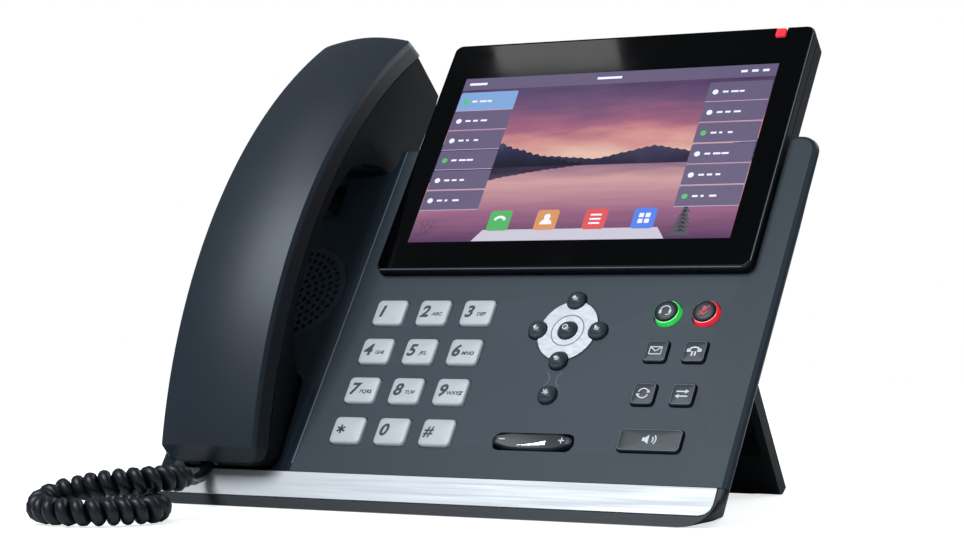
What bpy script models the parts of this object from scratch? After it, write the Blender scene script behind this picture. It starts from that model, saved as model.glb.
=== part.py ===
"""A desk telephone with a touch screen, a corded handset and a folding stand.

Each object is one separate piece of the real telephone. Lengths are in millimetres until
the helpers turn them into metres. Most pieces are placed in the face frame: x to the right,
v up the sloping front face and n out of it, with v = 0 where the face meets the table.
"""

import math

import bmesh
import bpy
from mathutils import Vector

MM = 0.001
GAP = 0.3

# The slab that carries the keys, the cradle and the screen
TILT = math.radians(55.3)
CENTRE_Y = 87.18
HALF_WIDTH = 133.0
BODY_TOP = 188.5
EDGE = 2.3
PART_LINE = -22.0
BACK = -42.0
LOW_RADIUS = 16.0
HIGH_RADIUS = 9.0
WALL = 2.4
TABLE_GAP = 0.3
BAR_TOP = 18.0

# The screen unit
SCREEN_CENTRE = (31.0, 181.35)
GLASS = (174.2, 124.1)
GLASS_FRONT = 4.0
GLASS_BACK = 2.5
LIP = 1.2
SCREEN_CORNER = 2.8
SCREEN_BACK = -14.5
LCD_CENTRE = (30.9, 178.5)
LCD = (158.0, 97.0)
LAMP = (101.8, 106.2, 239.0, 243.4)

# Keys: columns are x, rows are v
DIAL_X = (-43.4, -21.9, -0.4)
DIAL_V = (97.8, 78.0, 58.3, 38.5)
DIAL_NAMES = ("1", "2", "3", "4", "5", "6", "7", "8", "9", "star", "0", "hash")
DIAL_KEY = (15.0, 12.8)
NAV_CENTRE = (44.4, 89.4)
NAV_REACH = (14.0, 14.9)
NAV_PLATE_RADII = (13.4, 14.6)
CANCEL_DROP = 31.4
BALL_RADIUS = 4.1
FUNCTION_X = (87.3, 104.2)
LIGHT_KEY_V = 97.9
FUNCTION_V = (79.4, 59.1)
FUNCTION_KEY = (10.0, 10.2)
SPEAKER_KEY = (27.4, 10.4)
SPEAKER_KEY_V = 37.8
ROCKER = (35.6, 7.6)
ROCKER_V = 35.9
TRAVEL_ROOM = 6.1

# The cradle and the handset
CRADLE_X = -99.6
RIDGE_X = -65.4
TROUGH = 3.0
EAR_POCKET = -16.6
MOUTH_POCKET = -11.2
MOUTH_TAPER = 0.16
HOOK = (-87.0, 55.0)
HOOK_SIZE = (9.0, 5.0)
GRILLE_CENTRE = (-99.8, 111.3)
GRILLE_RADIUS = 25.4
TAB_V = 152.3
ARC_V = 128.0
ARC_N = -201.0
CREASE_RADIUS = 242.0
CROWN = 2.4
PARTING_RADIUS = 234.5
GRIP_RADIUS = 226.5
HANDSET_ENDS = (17.9, 239.4)
HANDSET_HALF = 26.6
CREASE_HALF = 22.9
MOUTH_BASE = -10.5
EAR_BASE = -15.8
EAR_DEEP = -22.0
MOUTH_V = 44.0
EAR_V = 212.5
UNDERSIDE = (
    # v on the parting line, v and n of the underside below it, narrowing of the block there
    (18.1, 19.0, 1.5, 0.4),
    (20.6, 22.6, -6.0, 0.6),
    (25.0, 27.2, MOUTH_BASE, 0.8),
    (58.0, 60.0, MOUTH_BASE, 4.0),
    (63.0, 64.5, -7.5, 4.4),
    (74.0, 74.0, 11.0, 2.0),
    (82.0, 81.0, 18.5, 0.6),
    (92.0, 91.0, None, 0.0),
    (110.0, 110.0, None, 0.0),
    (128.0, 128.0, None, 0.0),
    (146.0, 146.0, None, 0.0),
    (160.0, 160.0, 21.0, 0.0),
    (168.0, 167.5, 14.0, 0.0),
    (174.5, 175.4, 2.0, 0.0),
    (178.0, 178.4, -9.0, 0.0),
    (183.0, 182.5, EAR_BASE, 0.0),
    (189.4, 189.8, EAR_BASE, 0.0),
    (191.6, 192.4, EAR_DEEP, 0.0),
    (208.0, 207.5, EAR_DEEP, 0.0),
    (229.0, 227.5, EAR_DEEP, 0.0),
    (236.2, 234.2, -21.4, 0.0),
    (239.2, 236.9, -18.4, 0.3),
)

# The stand, folded out
HINGE_V = 138.0
HINGE_N = -46.5
STAND_LEAN = math.radians(56.2)
STAND_HALF = 88.0
STAND_LENGTH = 103.4
STAND_THICK = 7.0
PIN_RADIUS = 2.2

# The curly cord
COIL_DIAMETER = 11.0
WIRE_DIAMETER = 4.6
PLUG = (7.6, 6.4)
PLUG_X = -105.0
PLUG_N = 2.4
PLUG_END_V = 20.0
FRONT_TAIL = (
    (-105.0, 9.0, 17.2),
    (-105.0, 6.3, 14.8),
    (-103.6, 1.5, 12.3),
    (-99.6, -7.5, 12.0),
    (-93.5, -18.0, 12.3),
    (-85.0, -32.0, 13.4),
)
COIL_ROUTE = (
    (-74.5, -49.0, 15.0),
    (-70.5, -61.0, 16.2),
    (-73.0, -73.0, 16.4),
    (-81.0, -81.0, 15.7),
    (-90.0, -85.5, 14.5),
    (-97.5, -87.0, 13.0),
    (-104.3, -90.2, 11.2),
    (-107.3, -97.2, 8.6),
    (-103.2, -105.0, 6.5),
    (-95.5, -109.3, 6.0),
    (-86.5, -110.0, 5.85),
    (-77.0, -106.0, 5.85),
    (-69.5, -97.5, 5.85),
    (-64.5, -86.5, 5.85),
    (-68.5, -76.0, 5.85),
    (-79.5, -69.0, 5.75),
    (-96.0, -63.5, 5.6),
    (-112.0, -53.0, 5.6),
    (-126.0, -37.0, 5.6),
    (-136.5, -18.0, 5.6),
    (-142.5, 2.0, 5.6),
    (-145.0, 25.0, 5.6),
    (-145.0, 47.0, 5.6),
    (-144.0, 66.0, 5.8),
)
BACK_TAIL = (
    (-141.5, 76.5, 5.3),
    (-137.0, 86.5, 3.5),
    (-128.0, 93.5, 3.0),
    (-117.0, 95.0, 4.2),
    (-108.5, 90.5, 8.5),
    (-104.8, 82.5, 13.8),
    (-104.5, 75.5, 16.8),
    (-104.5, 69.3, 17.5),
)

# Blocks of sockets that face straight back: left, right, bottom, top
SOCKET_BLOCKS = {
    "port_block": (-31.0, 31.0, 11.0, 25.0),
    "handset_jacks": (-111.0, -84.0, 11.0, 23.0),
}
SOCKET_Z = 17.5
NETWORK_SOCKET = (11.9, 8.4)
NETWORK_X = (-20.0, -4.0)
POWER_X = 18.0
JACK_SOCKET = (8.0, 7.0)
JACK_X = (-104.5, -90.5)

LOOKS = {
    "shell": ((0.052, 0.066, 0.082), 0.42, 0.0),
    "dark_shell": ((0.018, 0.022, 0.028), 0.5, 0.0),
    "handset": ((0.045, 0.058, 0.073), 0.38, 0.0),
    "brushed_metal": ((0.72, 0.72, 0.73), 0.3, 1.0),
    "light_key": ((0.66, 0.67, 0.69), 0.35, 0.2),
    "dark_key": ((0.04, 0.048, 0.058), 0.35, 0.0),
    "glass": ((0.004, 0.004, 0.005), 0.05, 0.0),
    "panel": ((0.22, 0.14, 0.3), 0.2, 0.0),
    "green_light": ((0.08, 0.8, 0.12), 0.3, 0.0),
    "red_light": ((0.8, 0.04, 0.05), 0.3, 0.0),
    "rubber": ((0.012, 0.012, 0.013), 0.85, 0.0),
    "cord": ((0.014, 0.019, 0.026), 0.45, 0.0),
    "clear_plug": ((0.5, 0.52, 0.55), 0.2, 0.0),
    "board": ((0.02, 0.16, 0.06), 0.5, 0.0),
    "silicone": ((0.35, 0.36, 0.38), 0.7, 0.0),
    "steel": ((0.45, 0.46, 0.48), 0.35, 1.0),
}


# ---------------------------------------------------------------- helpers


def clear_scene():
    for old in list(bpy.data.objects):
        bpy.data.objects.remove(old)


def make_frame(name, location, angle):
    frame = bpy.data.objects.new(name, None)
    bpy.context.scene.collection.objects.link(frame)
    frame.location = Vector(location) * MM
    frame.rotation_euler = (angle, 0.0, 0.0)
    return frame


def material(name):
    found = bpy.data.materials.get(name)
    if found:
        return found
    colour, roughness, metallic = LOOKS[name]
    made = bpy.data.materials.new(name)
    made.use_nodes = True
    shader = made.node_tree.nodes["Principled BSDF"]
    shader.inputs["Base Color"].default_value = (*colour, 1.0)
    shader.inputs["Roughness"].default_value = roughness
    shader.inputs["Metallic"].default_value = metallic
    return made


def finish(name, data, look, frame, at):
    """Makes the object; one without a look is a cutter or a block that a Boolean uses."""
    made = bpy.data.objects.new(name, data)
    bpy.context.scene.collection.objects.link(made)
    made.parent = frame
    made.location = Vector(at) * MM
    if look:
        data.materials.append(material(look))
    else:
        made.hide_render = True
        made.display_type = "WIRE"
    return made


def from_bmesh(name, shape, look, frame, at=(0, 0, 0), smooth=False):
    bmesh.ops.recalc_face_normals(shape, faces=shape.faces)
    data = bpy.data.meshes.new(name)
    shape.to_mesh(data)
    shape.free()
    if smooth:
        data.shade_smooth()
        data.set_sharp_from_angle(angle=math.radians(40))
    return finish(name, data, look, frame, at)


def add_loft(shape, rings, closed=False):
    """Joins rings of points, all the same length, with quads, and caps the two ends."""
    loops = [[shape.verts.new(Vector(p) * MM) for p in ring] for ring in rings]
    pairs = list(zip(loops, loops[1:]))
    if closed:
        pairs.append((loops[-1], loops[0]))
    for low, high in pairs:
        for i in range(len(low)):
            j = (i + 1) % len(low)
            shape.faces.new((low[i], low[j], high[j], high[i]))
    if not closed:
        shape.faces.new(loops[0][::-1])
        shape.faces.new(loops[-1])


def loft(name, rings, look, frame, at=(0, 0, 0), smooth=False):
    shape = bmesh.new()
    add_loft(shape, rings)
    return from_bmesh(name, shape, look, frame, at, smooth)


def level(outline, height):
    return [(x, y, height) for x, y in outline]


def slab(name, outline, low, high, look, frame, at=(0, 0, 0)):
    return loft(name, [level(outline, low), level(outline, high)], look, frame, at)


def slabs(name, outlines, low, high, frame):
    """One cutter that holds a straight-sided prism for each outline."""
    shape = bmesh.new()
    for outline in outlines:
        add_loft(shape, [level(outline, low), level(outline, high)])
    return from_bmesh(name, shape, None, frame)


def rounded(left, right, low, high, radii, steps=3):
    """An outline with round corners: low left, low right, high right, high left."""
    if not isinstance(radii, tuple):
        radii = (radii,) * 4
    corners = ((left, low, 1, 1), (right, low, -1, 1), (right, high, -1, -1), (left, high, 1, -1))
    points = []
    for k, ((x, y, dx, dy), r) in enumerate(zip(corners, radii)):
        for i in range(steps + 1):
            a = math.pi * (1 + k / 2) + math.pi / 2 * i / steps
            points.append((x + dx * r + r * math.cos(a), y + dy * r + r * math.sin(a)))
    return points


def box_at(centre, size, radius, grow=0.0, steps=3):
    half_x = size[0] / 2 + grow
    half_y = size[1] / 2 + grow
    x, y = centre
    corner = max(radius + grow, 0.3)
    return rounded(x - half_x, x + half_x, y - half_y, y + half_y, corner, steps)


def circle(radius, sides, centre=(0, 0), squash=1.0):
    turn = 2 * math.pi / sides
    return [
        (centre[0] + radius * math.cos(turn * i), centre[1] + radius * squash * math.sin(turn * i))
        for i in range(sides)
    ]


def turned(name, profile, look, frame, at=(0, 0, 0), sides=20):
    """A solid of revolution about its own z axis, from (radius, height) pairs, low to high."""
    rings = [level(circle(r, sides), h) for r, h in profile]
    return loft(name, rings, look, frame, at, smooth=True)


def turned_ring(name, inner, outer, low, high, look, frame, at, sides=24):
    corners = ((outer, low), (outer, high), (inner, high), (inner, low))
    shape = bmesh.new()
    add_loft(shape, [level(circle(r, sides), h) for r, h in corners], closed=True)
    return from_bmesh(name, shape, look, frame, at, smooth=True)


def cut(target, *cutters, operation="DIFFERENCE"):
    for cutter in cutters:
        step = target.modifiers.new(cutter.name, "BOOLEAN")
        step.operation = operation
        step.object = cutter


# ---------------------------------------------------------------- the slab


def table_line(n, above=TABLE_GAP):
    """The v at which a point at height n over the face lies just above the table."""
    return (above - n * math.cos(TILT)) / math.sin(TILT)


def body_ring(n, inset, above=TABLE_GAP):
    """The slab's outline at height n, drawn in from its widest outline by inset."""
    high = max(HIGH_RADIUS - inset, 1.0)
    low = max(LOW_RADIUS - inset, 1.0)
    outline = rounded(
        -HALF_WIDTH + inset,
        HALF_WIDTH - inset,
        table_line(n, above),
        BODY_TOP - inset,
        (low, low, high, high),
        steps=7,
    )
    return level(outline, n)


FRONT_INSETS = ((0.0, EDGE), (-0.3 * EDGE, 0.3 * EDGE), (-EDGE, 0.0), (PART_LINE, 9.9))
REAR_INSETS = ((BACK, 20.8), (BACK + 3, 18.2), (PART_LINE - GAP, 10.1))


def tapered(outline, grow, taper):
    """A pocket's outline in the cradle, which narrows towards its top by the share taper."""
    left, right, low, high, radius = outline
    points = rounded(left - grow, right + grow, low - grow, high + grow, radius + grow, 5)
    return [(CRADLE_X + x * (1 - taper * (v - low) / (high - low)), v) for x, v in points]


def make_slab_shells(face):
    outer = [body_ring(n, inset) for n, inset in FRONT_INSETS]
    cover = loft("front_cover", outer, "shell", face)
    hollow = loft(
        "hollow_front",
        [body_ring(-WALL, WALL + 1, WALL + 1), body_ring(PART_LINE - 4, 14.0, WALL + 1)],
        None,
        face,
    )
    cradle = slab("cradle_floor", rounded(-150, -63, -9, 220, 0.5), -TROUGH - WALL, 2, None, face)
    wells = [cradle]
    pockets = []
    for name, outline, low, taper in (
        ("ear", (-29.5, 29.5, 175.5, 214.0, 9.0), EAR_POCKET, 0.0),
        ("mouth", (-25.4, 25.4, 20.0, 69.0, 6.5), MOUTH_POCKET, MOUTH_TAPER),
    ):
        well = tapered(outline, 2.2, taper)
        wells.append(slab(name + "_well", well, low - 2.2, 2, None, face))
        pockets.append(slab(name + "_pocket", tapered(outline, 0.0, taper), low, 4, None, face))
    screen = box_at(SCREEN_CENTRE, GLASS, SCREEN_CORNER, LIP + GAP)
    wells.append(
        slab(
            "screen_well",
            box_at(SCREEN_CENTRE, GLASS, SCREEN_CORNER, LIP + 2.6),
            SCREEN_BACK - GAP - 2.2,
            2,
            None,
            face,
        )
    )
    pockets.append(slab("screen_pocket", screen, SCREEN_BACK - GAP, 6, None, face))
    cut(hollow, *wells)

    below_bar = slab("below_bar", rounded(-160, 160, -30, BAR_TOP + GAP, 1), -60, 9, None, face)
    trough = loft(
        "trough",
        [
            [(-131, v, 0), (-127.5, v, -TROUGH), (-71, v, -TROUGH), (RIDGE_X, v, 0), (-99, v, 3)]
            for v in (-9, 220)
        ],
        None,
        face,
    )
    speaker = GRILLE_CENTRE
    cut(
        cover,
        hollow,
        below_bar,
        trough,
        *pockets,
        slab("grille_seat", circle(GRILLE_RADIUS + GAP, 32, speaker), -TROUGH - 1.5, 2, None, face),
        slab("speaker_hole", circle(22.0, 24, speaker), -30, 2, None, face),
        slab("hook_hole", box_at(HOOK, HOOK_SIZE, 0.5, 0.4), -40, 9, None, face),
        slab("tab_slot", rounded(-105, -93, TAB_V - 0.6, TAB_V + 19.6, 1.5), -40, 9, None, face),
        key_openings(face),
    )

    bar = loft("bottom_bar", outer, "dark_shell", face)
    bar_hollow = loft(
        "hollow_bar",
        [body_ring(-3.6, WALL + 1, WALL + 1), body_ring(PART_LINE - 4, 14.0, WALL + 1)],
        None,
        face,
    )
    above_bar = slab("above_bar", rounded(-160, 160, BAR_TOP, 260, 1), -60, 9, None, face)
    seat = slab(
        "strip_seat",
        rounded(-140, HALF_WIDTH - 3.4, 5.4, 40, (1, 5.3, 1, 1)),
        -1.3,
        9,
        None,
        face,
    )
    cut(bar, bar_hollow, above_bar, seat)
    strip = rounded(-HALF_WIDTH + 2.6, HALF_WIDTH - 3.7, 5.7, BAR_TOP, (1, 5.0, 0.5, 1))
    slab("metal_strip", strip, -1.0, 0.3, "brushed_metal", face)
    return bar


def make_rear_cover(face, floor):
    cover = loft(
        "rear_cover",
        [body_ring(n, inset) for n, inset in REAR_INSETS],
        "dark_shell",
        face,
    )
    hollow = loft(
        "hollow_rear",
        [body_ring(BACK + WALL, 23.2, WALL + 1), body_ring(PART_LINE + 2, 13.0, WALL + 1)],
        None,
        face,
    )
    lugs = []
    for side in (-1, 1):
        x = side * (STAND_HALF + 5.0)
        lugs.append(
            slab(
                "lug_right" if side > 0 else "lug_left",
                rounded(x - 4, x + 4, HINGE_V - 6, HINGE_V + 6, 0.5, 1),
                HINGE_N - 4.5,
                BACK + 1,
                None,
                face,
            )
        )
    bore = loft(
        "lug_bore",
        [
            [(x, HINGE_V + y, HINGE_N + z) for y, z in circle(PIN_RADIUS + GAP, 16)]
            for x in (-110, 110)
        ],
        None,
        face,
    )
    vents = [
        rounded(x - 8, x + 8, v - 1.2, v + 1.2, 1.0, 2)
        for x in (-48, -24, 0, 24, 48)
        for v in (148, 155, 162)
    ]
    windows = []
    for name, (left, right, bottom, top) in SOCKET_BLOCKS.items():
        outline = rounded(left - GAP, right + GAP, bottom - GAP, top + GAP, 0.8, 1)
        windows.append(level_prism("window_" + name, outline, 40, 99, None, floor))
    cut(cover, hollow)
    cut(cover, *lugs, operation="UNION")
    cut(cover, bore, *windows, slabs("vents", vents, BACK - 2, BACK + 9, face))


def level_prism(name, outline, near, far, look, floor):
    """A prism that runs straight back, from an outline in x and z."""
    return loft(name, [[(x, y, z) for x, z in outline] for y in (near, far)], look, floor)


def make_sockets(face, floor):
    wide = rounded(-150, 150, -20, 220, 1, 1)
    behind = slab("behind_back", wide, BACK - 90, BACK + GAP, None, face)
    holes = {
        "port_block": [box_at((x, SOCKET_Z), NETWORK_SOCKET, 0.4, steps=1) for x in NETWORK_X]
        + [circle(3.1, 16, (POWER_X, SOCKET_Z))],
        "handset_jacks": [box_at((x, SOCKET_Z), JACK_SOCKET, 0.3, steps=1) for x in JACK_X],
    }
    for name, outline in SOCKET_BLOCKS.items():
        block = level_prism(name, rounded(*outline, 0.5, 1), 46, 90, "dark_shell", floor)
        sockets = [
            level_prism(name + "_hole", hole, 50, 99, None, floor) for hole in holes[name]
        ]
        cut(block, behind, *sockets)


def make_pads(floor, bar):
    """Rubber feet under the front edge, let into the bottom bar."""
    for side, name in ((-1, "base_pad_left"), (1, "base_pad_right")):
        outline = box_at((side * 92.0, 15.0), (26.0, 9.0), 3.0)
        slab(name, outline, 0.0, 1.8, "rubber", floor)
        seat = box_at((side * 92.0, 15.0), (26.0, 9.0), 3.0, GAP)
        cut(bar, slab(name + "_seat", seat, -3.0, 2.1, None, floor))


# ---------------------------------------------------------------- the screen unit


def make_screen(face):
    def outline(inset):
        return box_at(SCREEN_CENTRE, GLASS, SCREEN_CORNER, LIP - inset, 5)

    bezel = loft(
        "display_bezel",
        [level(outline(0.6), -2.0), level(outline(0), 3.2), level(outline(0.9), GLASS_FRONT + 0.4)],
        "dark_shell",
        face,
    )
    glass_outline = box_at(SCREEN_CENTRE, GLASS, SCREEN_CORNER - 0.5)
    glass_seat = box_at(SCREEN_CENTRE, GLASS, SCREEN_CORNER - 0.5, GAP)
    lcd_seat = box_at(LCD_CENTRE, LCD, 1.0, GAP)
    lamp_seat = rounded(LAMP[0] - GAP, LAMP[1] + GAP, LAMP[2] - GAP, 260, 0.3, 1)
    lamp_cut = slab("lamp_seat", lamp_seat, 1.2, 9, None, face)
    cut(
        bezel,
        slab("glass_seat", glass_seat, GLASS_BACK - 0.1, 9, None, face),
        slab("lcd_seat", lcd_seat, -9, 9, None, face),
        lamp_cut,
    )
    glass = slab("cover_glass", glass_outline, GLASS_BACK + 0.1, GLASS_FRONT, "glass", face)
    cut(glass, lamp_cut)
    slab("lcd_panel", box_at(LCD_CENTRE, LCD, 1.0), -1.5, 2.1, "panel", face)
    slab("message_light", rounded(*LAMP, 0.4, 1), 1.5, GLASS_FRONT + 0.5, "red_light", face)
    rear = loft(
        "display_rear_cover",
        [level(outline(4.0), SCREEN_BACK), level(outline(1.4), -10.0), level(outline(0.6), -2.3)],
        "dark_shell",
        face,
    )
    cut(rear, slab("hollow_screen", outline(6.2), SCREEN_BACK + 2, 5, None, face))


# ---------------------------------------------------------------- keys


def nav_places():
    x, v = NAV_CENTRE
    reach_x, reach_v = NAV_REACH
    return {
        "nav_up_key": (x, v + reach_v),
        "nav_down_key": (x, v - reach_v),
        "nav_left_key": (x - reach_x, v),
        "nav_right_key": (x + reach_x, v),
        "ok_key": (x, v),
        "cancel_key": (x, v - CANCEL_DROP),
    }


def dial_places():
    return [(x, v) for v in DIAL_V for x in DIAL_X]


def function_places():
    names = ("message_key", "hold_key", "redial_key", "transfer_key")
    return dict(zip(names, ((x, v) for v in FUNCTION_V for x in FUNCTION_X)))


def key_openings(face):
    """One cutter for every hole that a key stands in."""
    room = 0.4
    speaker_x = sum(FUNCTION_X) / 2
    outlines = [box_at(place, DIAL_KEY, 2.0, room, 2) for place in dial_places()]
    outlines += [box_at(p, FUNCTION_KEY, 1.5, room, 2) for p in function_places().values()]
    outlines += [circle(6.3, 24, (x, LIGHT_KEY_V)) for x in FUNCTION_X]
    outlines.append(box_at((speaker_x, SPEAKER_KEY_V), SPEAKER_KEY, 2.0, room, 2))
    outlines.append(box_at((NAV_CENTRE[0], ROCKER_V), ROCKER, 2.5, room, 2))
    holes = slabs("key_openings", outlines, -20, 9, face)
    balls = [circle(BALL_RADIUS + room, 16, p) for p in nav_places().values()]
    wide, tall = NAV_PLATE_RADII
    plate = circle(wide + GAP, 32, NAV_CENTRE, tall / wide)
    cut(
        holes,
        slabs("ball_openings", balls, -20, 9, face),
        slab("plate_seat", plate, -0.7, 9, None, face),
        operation="UNION",
    )
    return holes


def make_key(name, place, size, radius, height, look, face, inset=0.7):
    """A cap with a flange under the cover, which keeps it in its hole."""
    def outline(grow):
        return box_at((0, 0), size, radius, grow, 2)

    rings = [
        level(outline(0.8), -4.0),
        level(outline(0.8), -3.1),
        level(outline(0), -3.1),
        level(outline(0), height - 0.9),
        level(outline(-inset), height),
    ]
    return loft(name, rings, look, face, (*place, 0))


def make_keys(face):
    for label, place in zip(DIAL_NAMES, dial_places()):
        make_key("dial_key_" + label, place, DIAL_KEY, 2.0, 1.7, "light_key", face)
    for name, place in function_places().items():
        make_key(name, place, FUNCTION_KEY, 1.5, 1.6, "dark_key", face)
    speaker = (sum(FUNCTION_X) / 2, SPEAKER_KEY_V)
    make_key("speaker_key", speaker, SPEAKER_KEY, 2.0, 1.6, "dark_key", face)

    dome = [(BALL_RADIUS * math.cos(a), 0.8 + 2.6 * math.sin(a)) for a in (0, 0.4, 0.8, 1.2)]
    ball = [(5.0, -4.0), (5.0, -3.1), (BALL_RADIUS, -3.1), *dome]
    for name, place in nav_places().items():
        turned(name, ball, "dark_key", face, (*place, 0), sides=14)
    wide, tall = NAV_PLATE_RADII
    plate = slab(
        "nav_plate",
        circle(wide, 32, NAV_CENTRE, tall / wide),
        -0.4,
        0.6,
        "brushed_metal",
        face,
    )
    holes = [circle(BALL_RADIUS + 0.4, 16, p) for p in nav_places().values()]
    cut(plate, slabs("plate_holes", holes[:5], -5, 5, face))

    cap = [(5.7, -4.0), (5.7, -3.1), (4.9, -3.1), (4.9, 1.9), (4.3, 2.4)]
    lights = (("headset", "green_light"), ("mute", "red_light"))
    for (name, look), x in zip(lights, FUNCTION_X):
        turned(name + "_key", cap, "dark_key", face, (x, LIGHT_KEY_V, 0))
        turned_ring(name + "_light", 5.3, 6.0, -2.1, 1.9, look, face, (x, LIGHT_KEY_V, 0))
    make_rocker(face)


def make_rocker(face):
    """The volume bar: its middle dips, and it rocks about its own y axis."""
    half, tall = ROCKER[0] / 2, ROCKER[1] / 2
    rings = []
    for step in range(-4, 5):
        x = half * step / 4
        end = (tall - 2.4, tall - 0.9)[abs(step) == 3] if abs(step) > 2 else tall
        top = 0.9 + 1.4 * (step / 4) ** 2 - (0.8 if abs(step) == 4 else 0)
        rings.append(
            [(x, -end, -3.6), (x, end, -3.6), (x, end, top - 0.7), (x, end - 1, top),
             (x, 1 - end, top), (x, -end, top - 0.7)]
        )
    loft("volume_rocker", rings, "dark_key", face, (NAV_CENTRE[0], ROCKER_V, 0), smooth=True)


# ---------------------------------------------------------------- inside and cradle


def make_insides(face):
    slab("keypad_membrane", rounded(-58, 116, 25, 112, 3), -7.1, -TRAVEL_ROOM, "silicone", face)
    slab("keypad_board", rounded(-58, 116, 25, 112, 3), -9.0, -7.4, "board", face)
    slab("main_board", rounded(-60, 110, 40, 168, 3), -20.6, -19.0, "board", face)
    magnet = [(11, -18), (11, -13), (17, -12.5), (23, -7.5), (23, -6.0)]
    turned("loudspeaker", magnet, "steel", face, (*GRILLE_CENTRE, 0))

    grille = slab(
        "speaker_grille",
        circle(GRILLE_RADIUS, 32, GRILLE_CENTRE),
        -TROUGH - 1.2,
        -TROUGH,
        "dark_shell",
        face,
    )
    holes = []
    for ring, (radius, count) in enumerate(((5.2, 6), (9.8, 11), (14.4, 16), (19.0, 21))):
        for i in range(count):
            a = 2 * math.pi * (i + 0.5 * (ring % 2)) / count
            x, v = GRILLE_CENTRE
            holes.append(circle(1.5, 4, (x + radius * math.cos(a), v + radius * math.sin(a))))
    cut(grille, slabs("grille_holes", holes, -9, 4, face))

    hook = [
        level(box_at((0, 0), HOOK_SIZE, 0.5, grow, 1), n)
        for n, grow in ((-21, 1), (-17, 1), (-17, 0), (-11, 0))
    ]
    loft("hook_switch", hook, "dark_key", face, (*HOOK, 0))

    tab = [
        [(x, v, n) for x, n in ((-4.9, -3.3), (4.9, -3.3), (4.9, top), (-4.9, top))]
        for v, top in ((0.0, -0.6), (1.8, 0.2), (13.0, -2.2))
    ]
    hang = loft("hang_tab", tab, "dark_shell", face, (-99, TAB_V, 0))
    stem = slab("tab_stem", rounded(-104.7, -93.3, TAB_V - 0.2, TAB_V + 13.2, 1), -6.0, -3.0, None, face)
    flange = slab("tab_flange", rounded(-107, -91, TAB_V - 0.6, TAB_V + 13.4, 1), -7.4, -5.8, None, face)
    cut(hang, stem, flange, operation="UNION")


# ---------------------------------------------------------------- handset


def arc_point(x, radius, angle):
    return (x, ARC_V + radius * math.sin(angle), ARC_N + radius * math.cos(angle))


def arc_angle(v):
    return math.asin((v - ARC_V) / PARTING_RADIUS)


def end_inset(distance, radius=7.0):
    """How far a rounded end draws the sides in, at a distance from the end."""
    if distance >= radius:
        return 0.0
    return radius - math.sqrt(radius**2 - (radius - distance) ** 2)


def outer_section(angle, half, crease_half, height, thin=0.0):
    """A cross section of the outer shell, or of the space inside it when thin is set."""
    base = PARTING_RADIUS + GAP / 2 if not thin else PARTING_RADIUS - 3
    crease = PARTING_RADIUS + height - thin
    side = [
        (-half + thin, base),
        (-crease_half - 1.2 + thin, crease - 2.0),
        (-crease_half + thin, crease),
    ]
    dome = [
        ((crease_half - thin) * k / 3, crease + CROWN * (1 - (k / 3) ** 2) * height / 7.5)
        for k in (-2, -1, 0, 1, 2)
    ]
    section = side + dome + [(-x, r) for x, r in side[::-1]]
    return [(CRADLE_X + p[0], *arc_point(0, p[1], angle)[1:]) for p in section]


def make_outer_shell(handset):
    first, last = (arc_angle(v) for v in HANDSET_ENDS)
    full = CREASE_RADIUS - PARTING_RADIUS
    rings = []
    stations = [0, 1.5, 5, 9] + [217 * k / 12 + 9 for k in range(1, 12)] + [228, 231.5, 233]
    span = stations[-1]
    for s in stations:
        angle = first + (last - first) * s / span
        draw = max(end_inset(s), end_inset(span - s, 4.5))
        height = full * min(1.0, 0.3 + s / 8.5)
        rings.append(outer_section(angle, HANDSET_HALF - draw, CREASE_HALF - draw, height))
    shell = loft("handset_outer_shell", rings, "handset", handset, smooth=True)
    inner = []
    for k in range(13):
        angle = first + 0.032 + (last - first - 0.042) * k / 12
        inner.append(outer_section(angle, HANDSET_HALF, CREASE_HALF - 1, full, thin=2.2))
    cut(shell, loft("hollow_outer", inner, None, handset))


def under_rings(thin):
    """Cross sections of the inner shell, or of the space inside it when thin is set."""
    rings = []
    first, last = UNDERSIDE[0][0], UNDERSIDE[-1][0]
    for top_v, low_v, low_n, slim in UNDERSIDE:
        if low_n is None:
            low_n = ARC_N + math.sqrt(GRIP_RADIUS**2 - (low_v - ARC_V) ** 2)
        draw = max(end_inset(top_v - first), end_inset(last - top_v, 4.5))
        inward = 1 if low_v < 50 or 165 < low_v < 194 else -1 if low_v > 200 or 57 < low_v < 70 else 0
        low_v += thin * inward
        if not 50 < top_v < 200:
            top_v += thin * inward
        low_n += thin * 1.2
        half = HANDSET_HALF - 0.3 - draw - thin
        top = PARTING_RADIUS - GAP / 2 + (3 if thin else 0)
        _, v, n = arc_point(0, top, arc_angle(top_v))
        ear = low_v > ARC_V
        narrow = half - 0.6 - (n - low_n) * (0.02 if ear else 0.09) - slim
        section = [
            (-half, v, n),
            (-narrow, low_v + (v - low_v) * 0.12, low_n + 2.5),
            (-narrow + 2.4, low_v, low_n),
            (narrow - 2.4, low_v, low_n),
            (narrow, low_v + (v - low_v) * 0.12, low_n + 2.5),
            (half, v, n),
        ]
        rings.append([(CRADLE_X + x, y, z) for x, y, z in section])
    return rings


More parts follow.
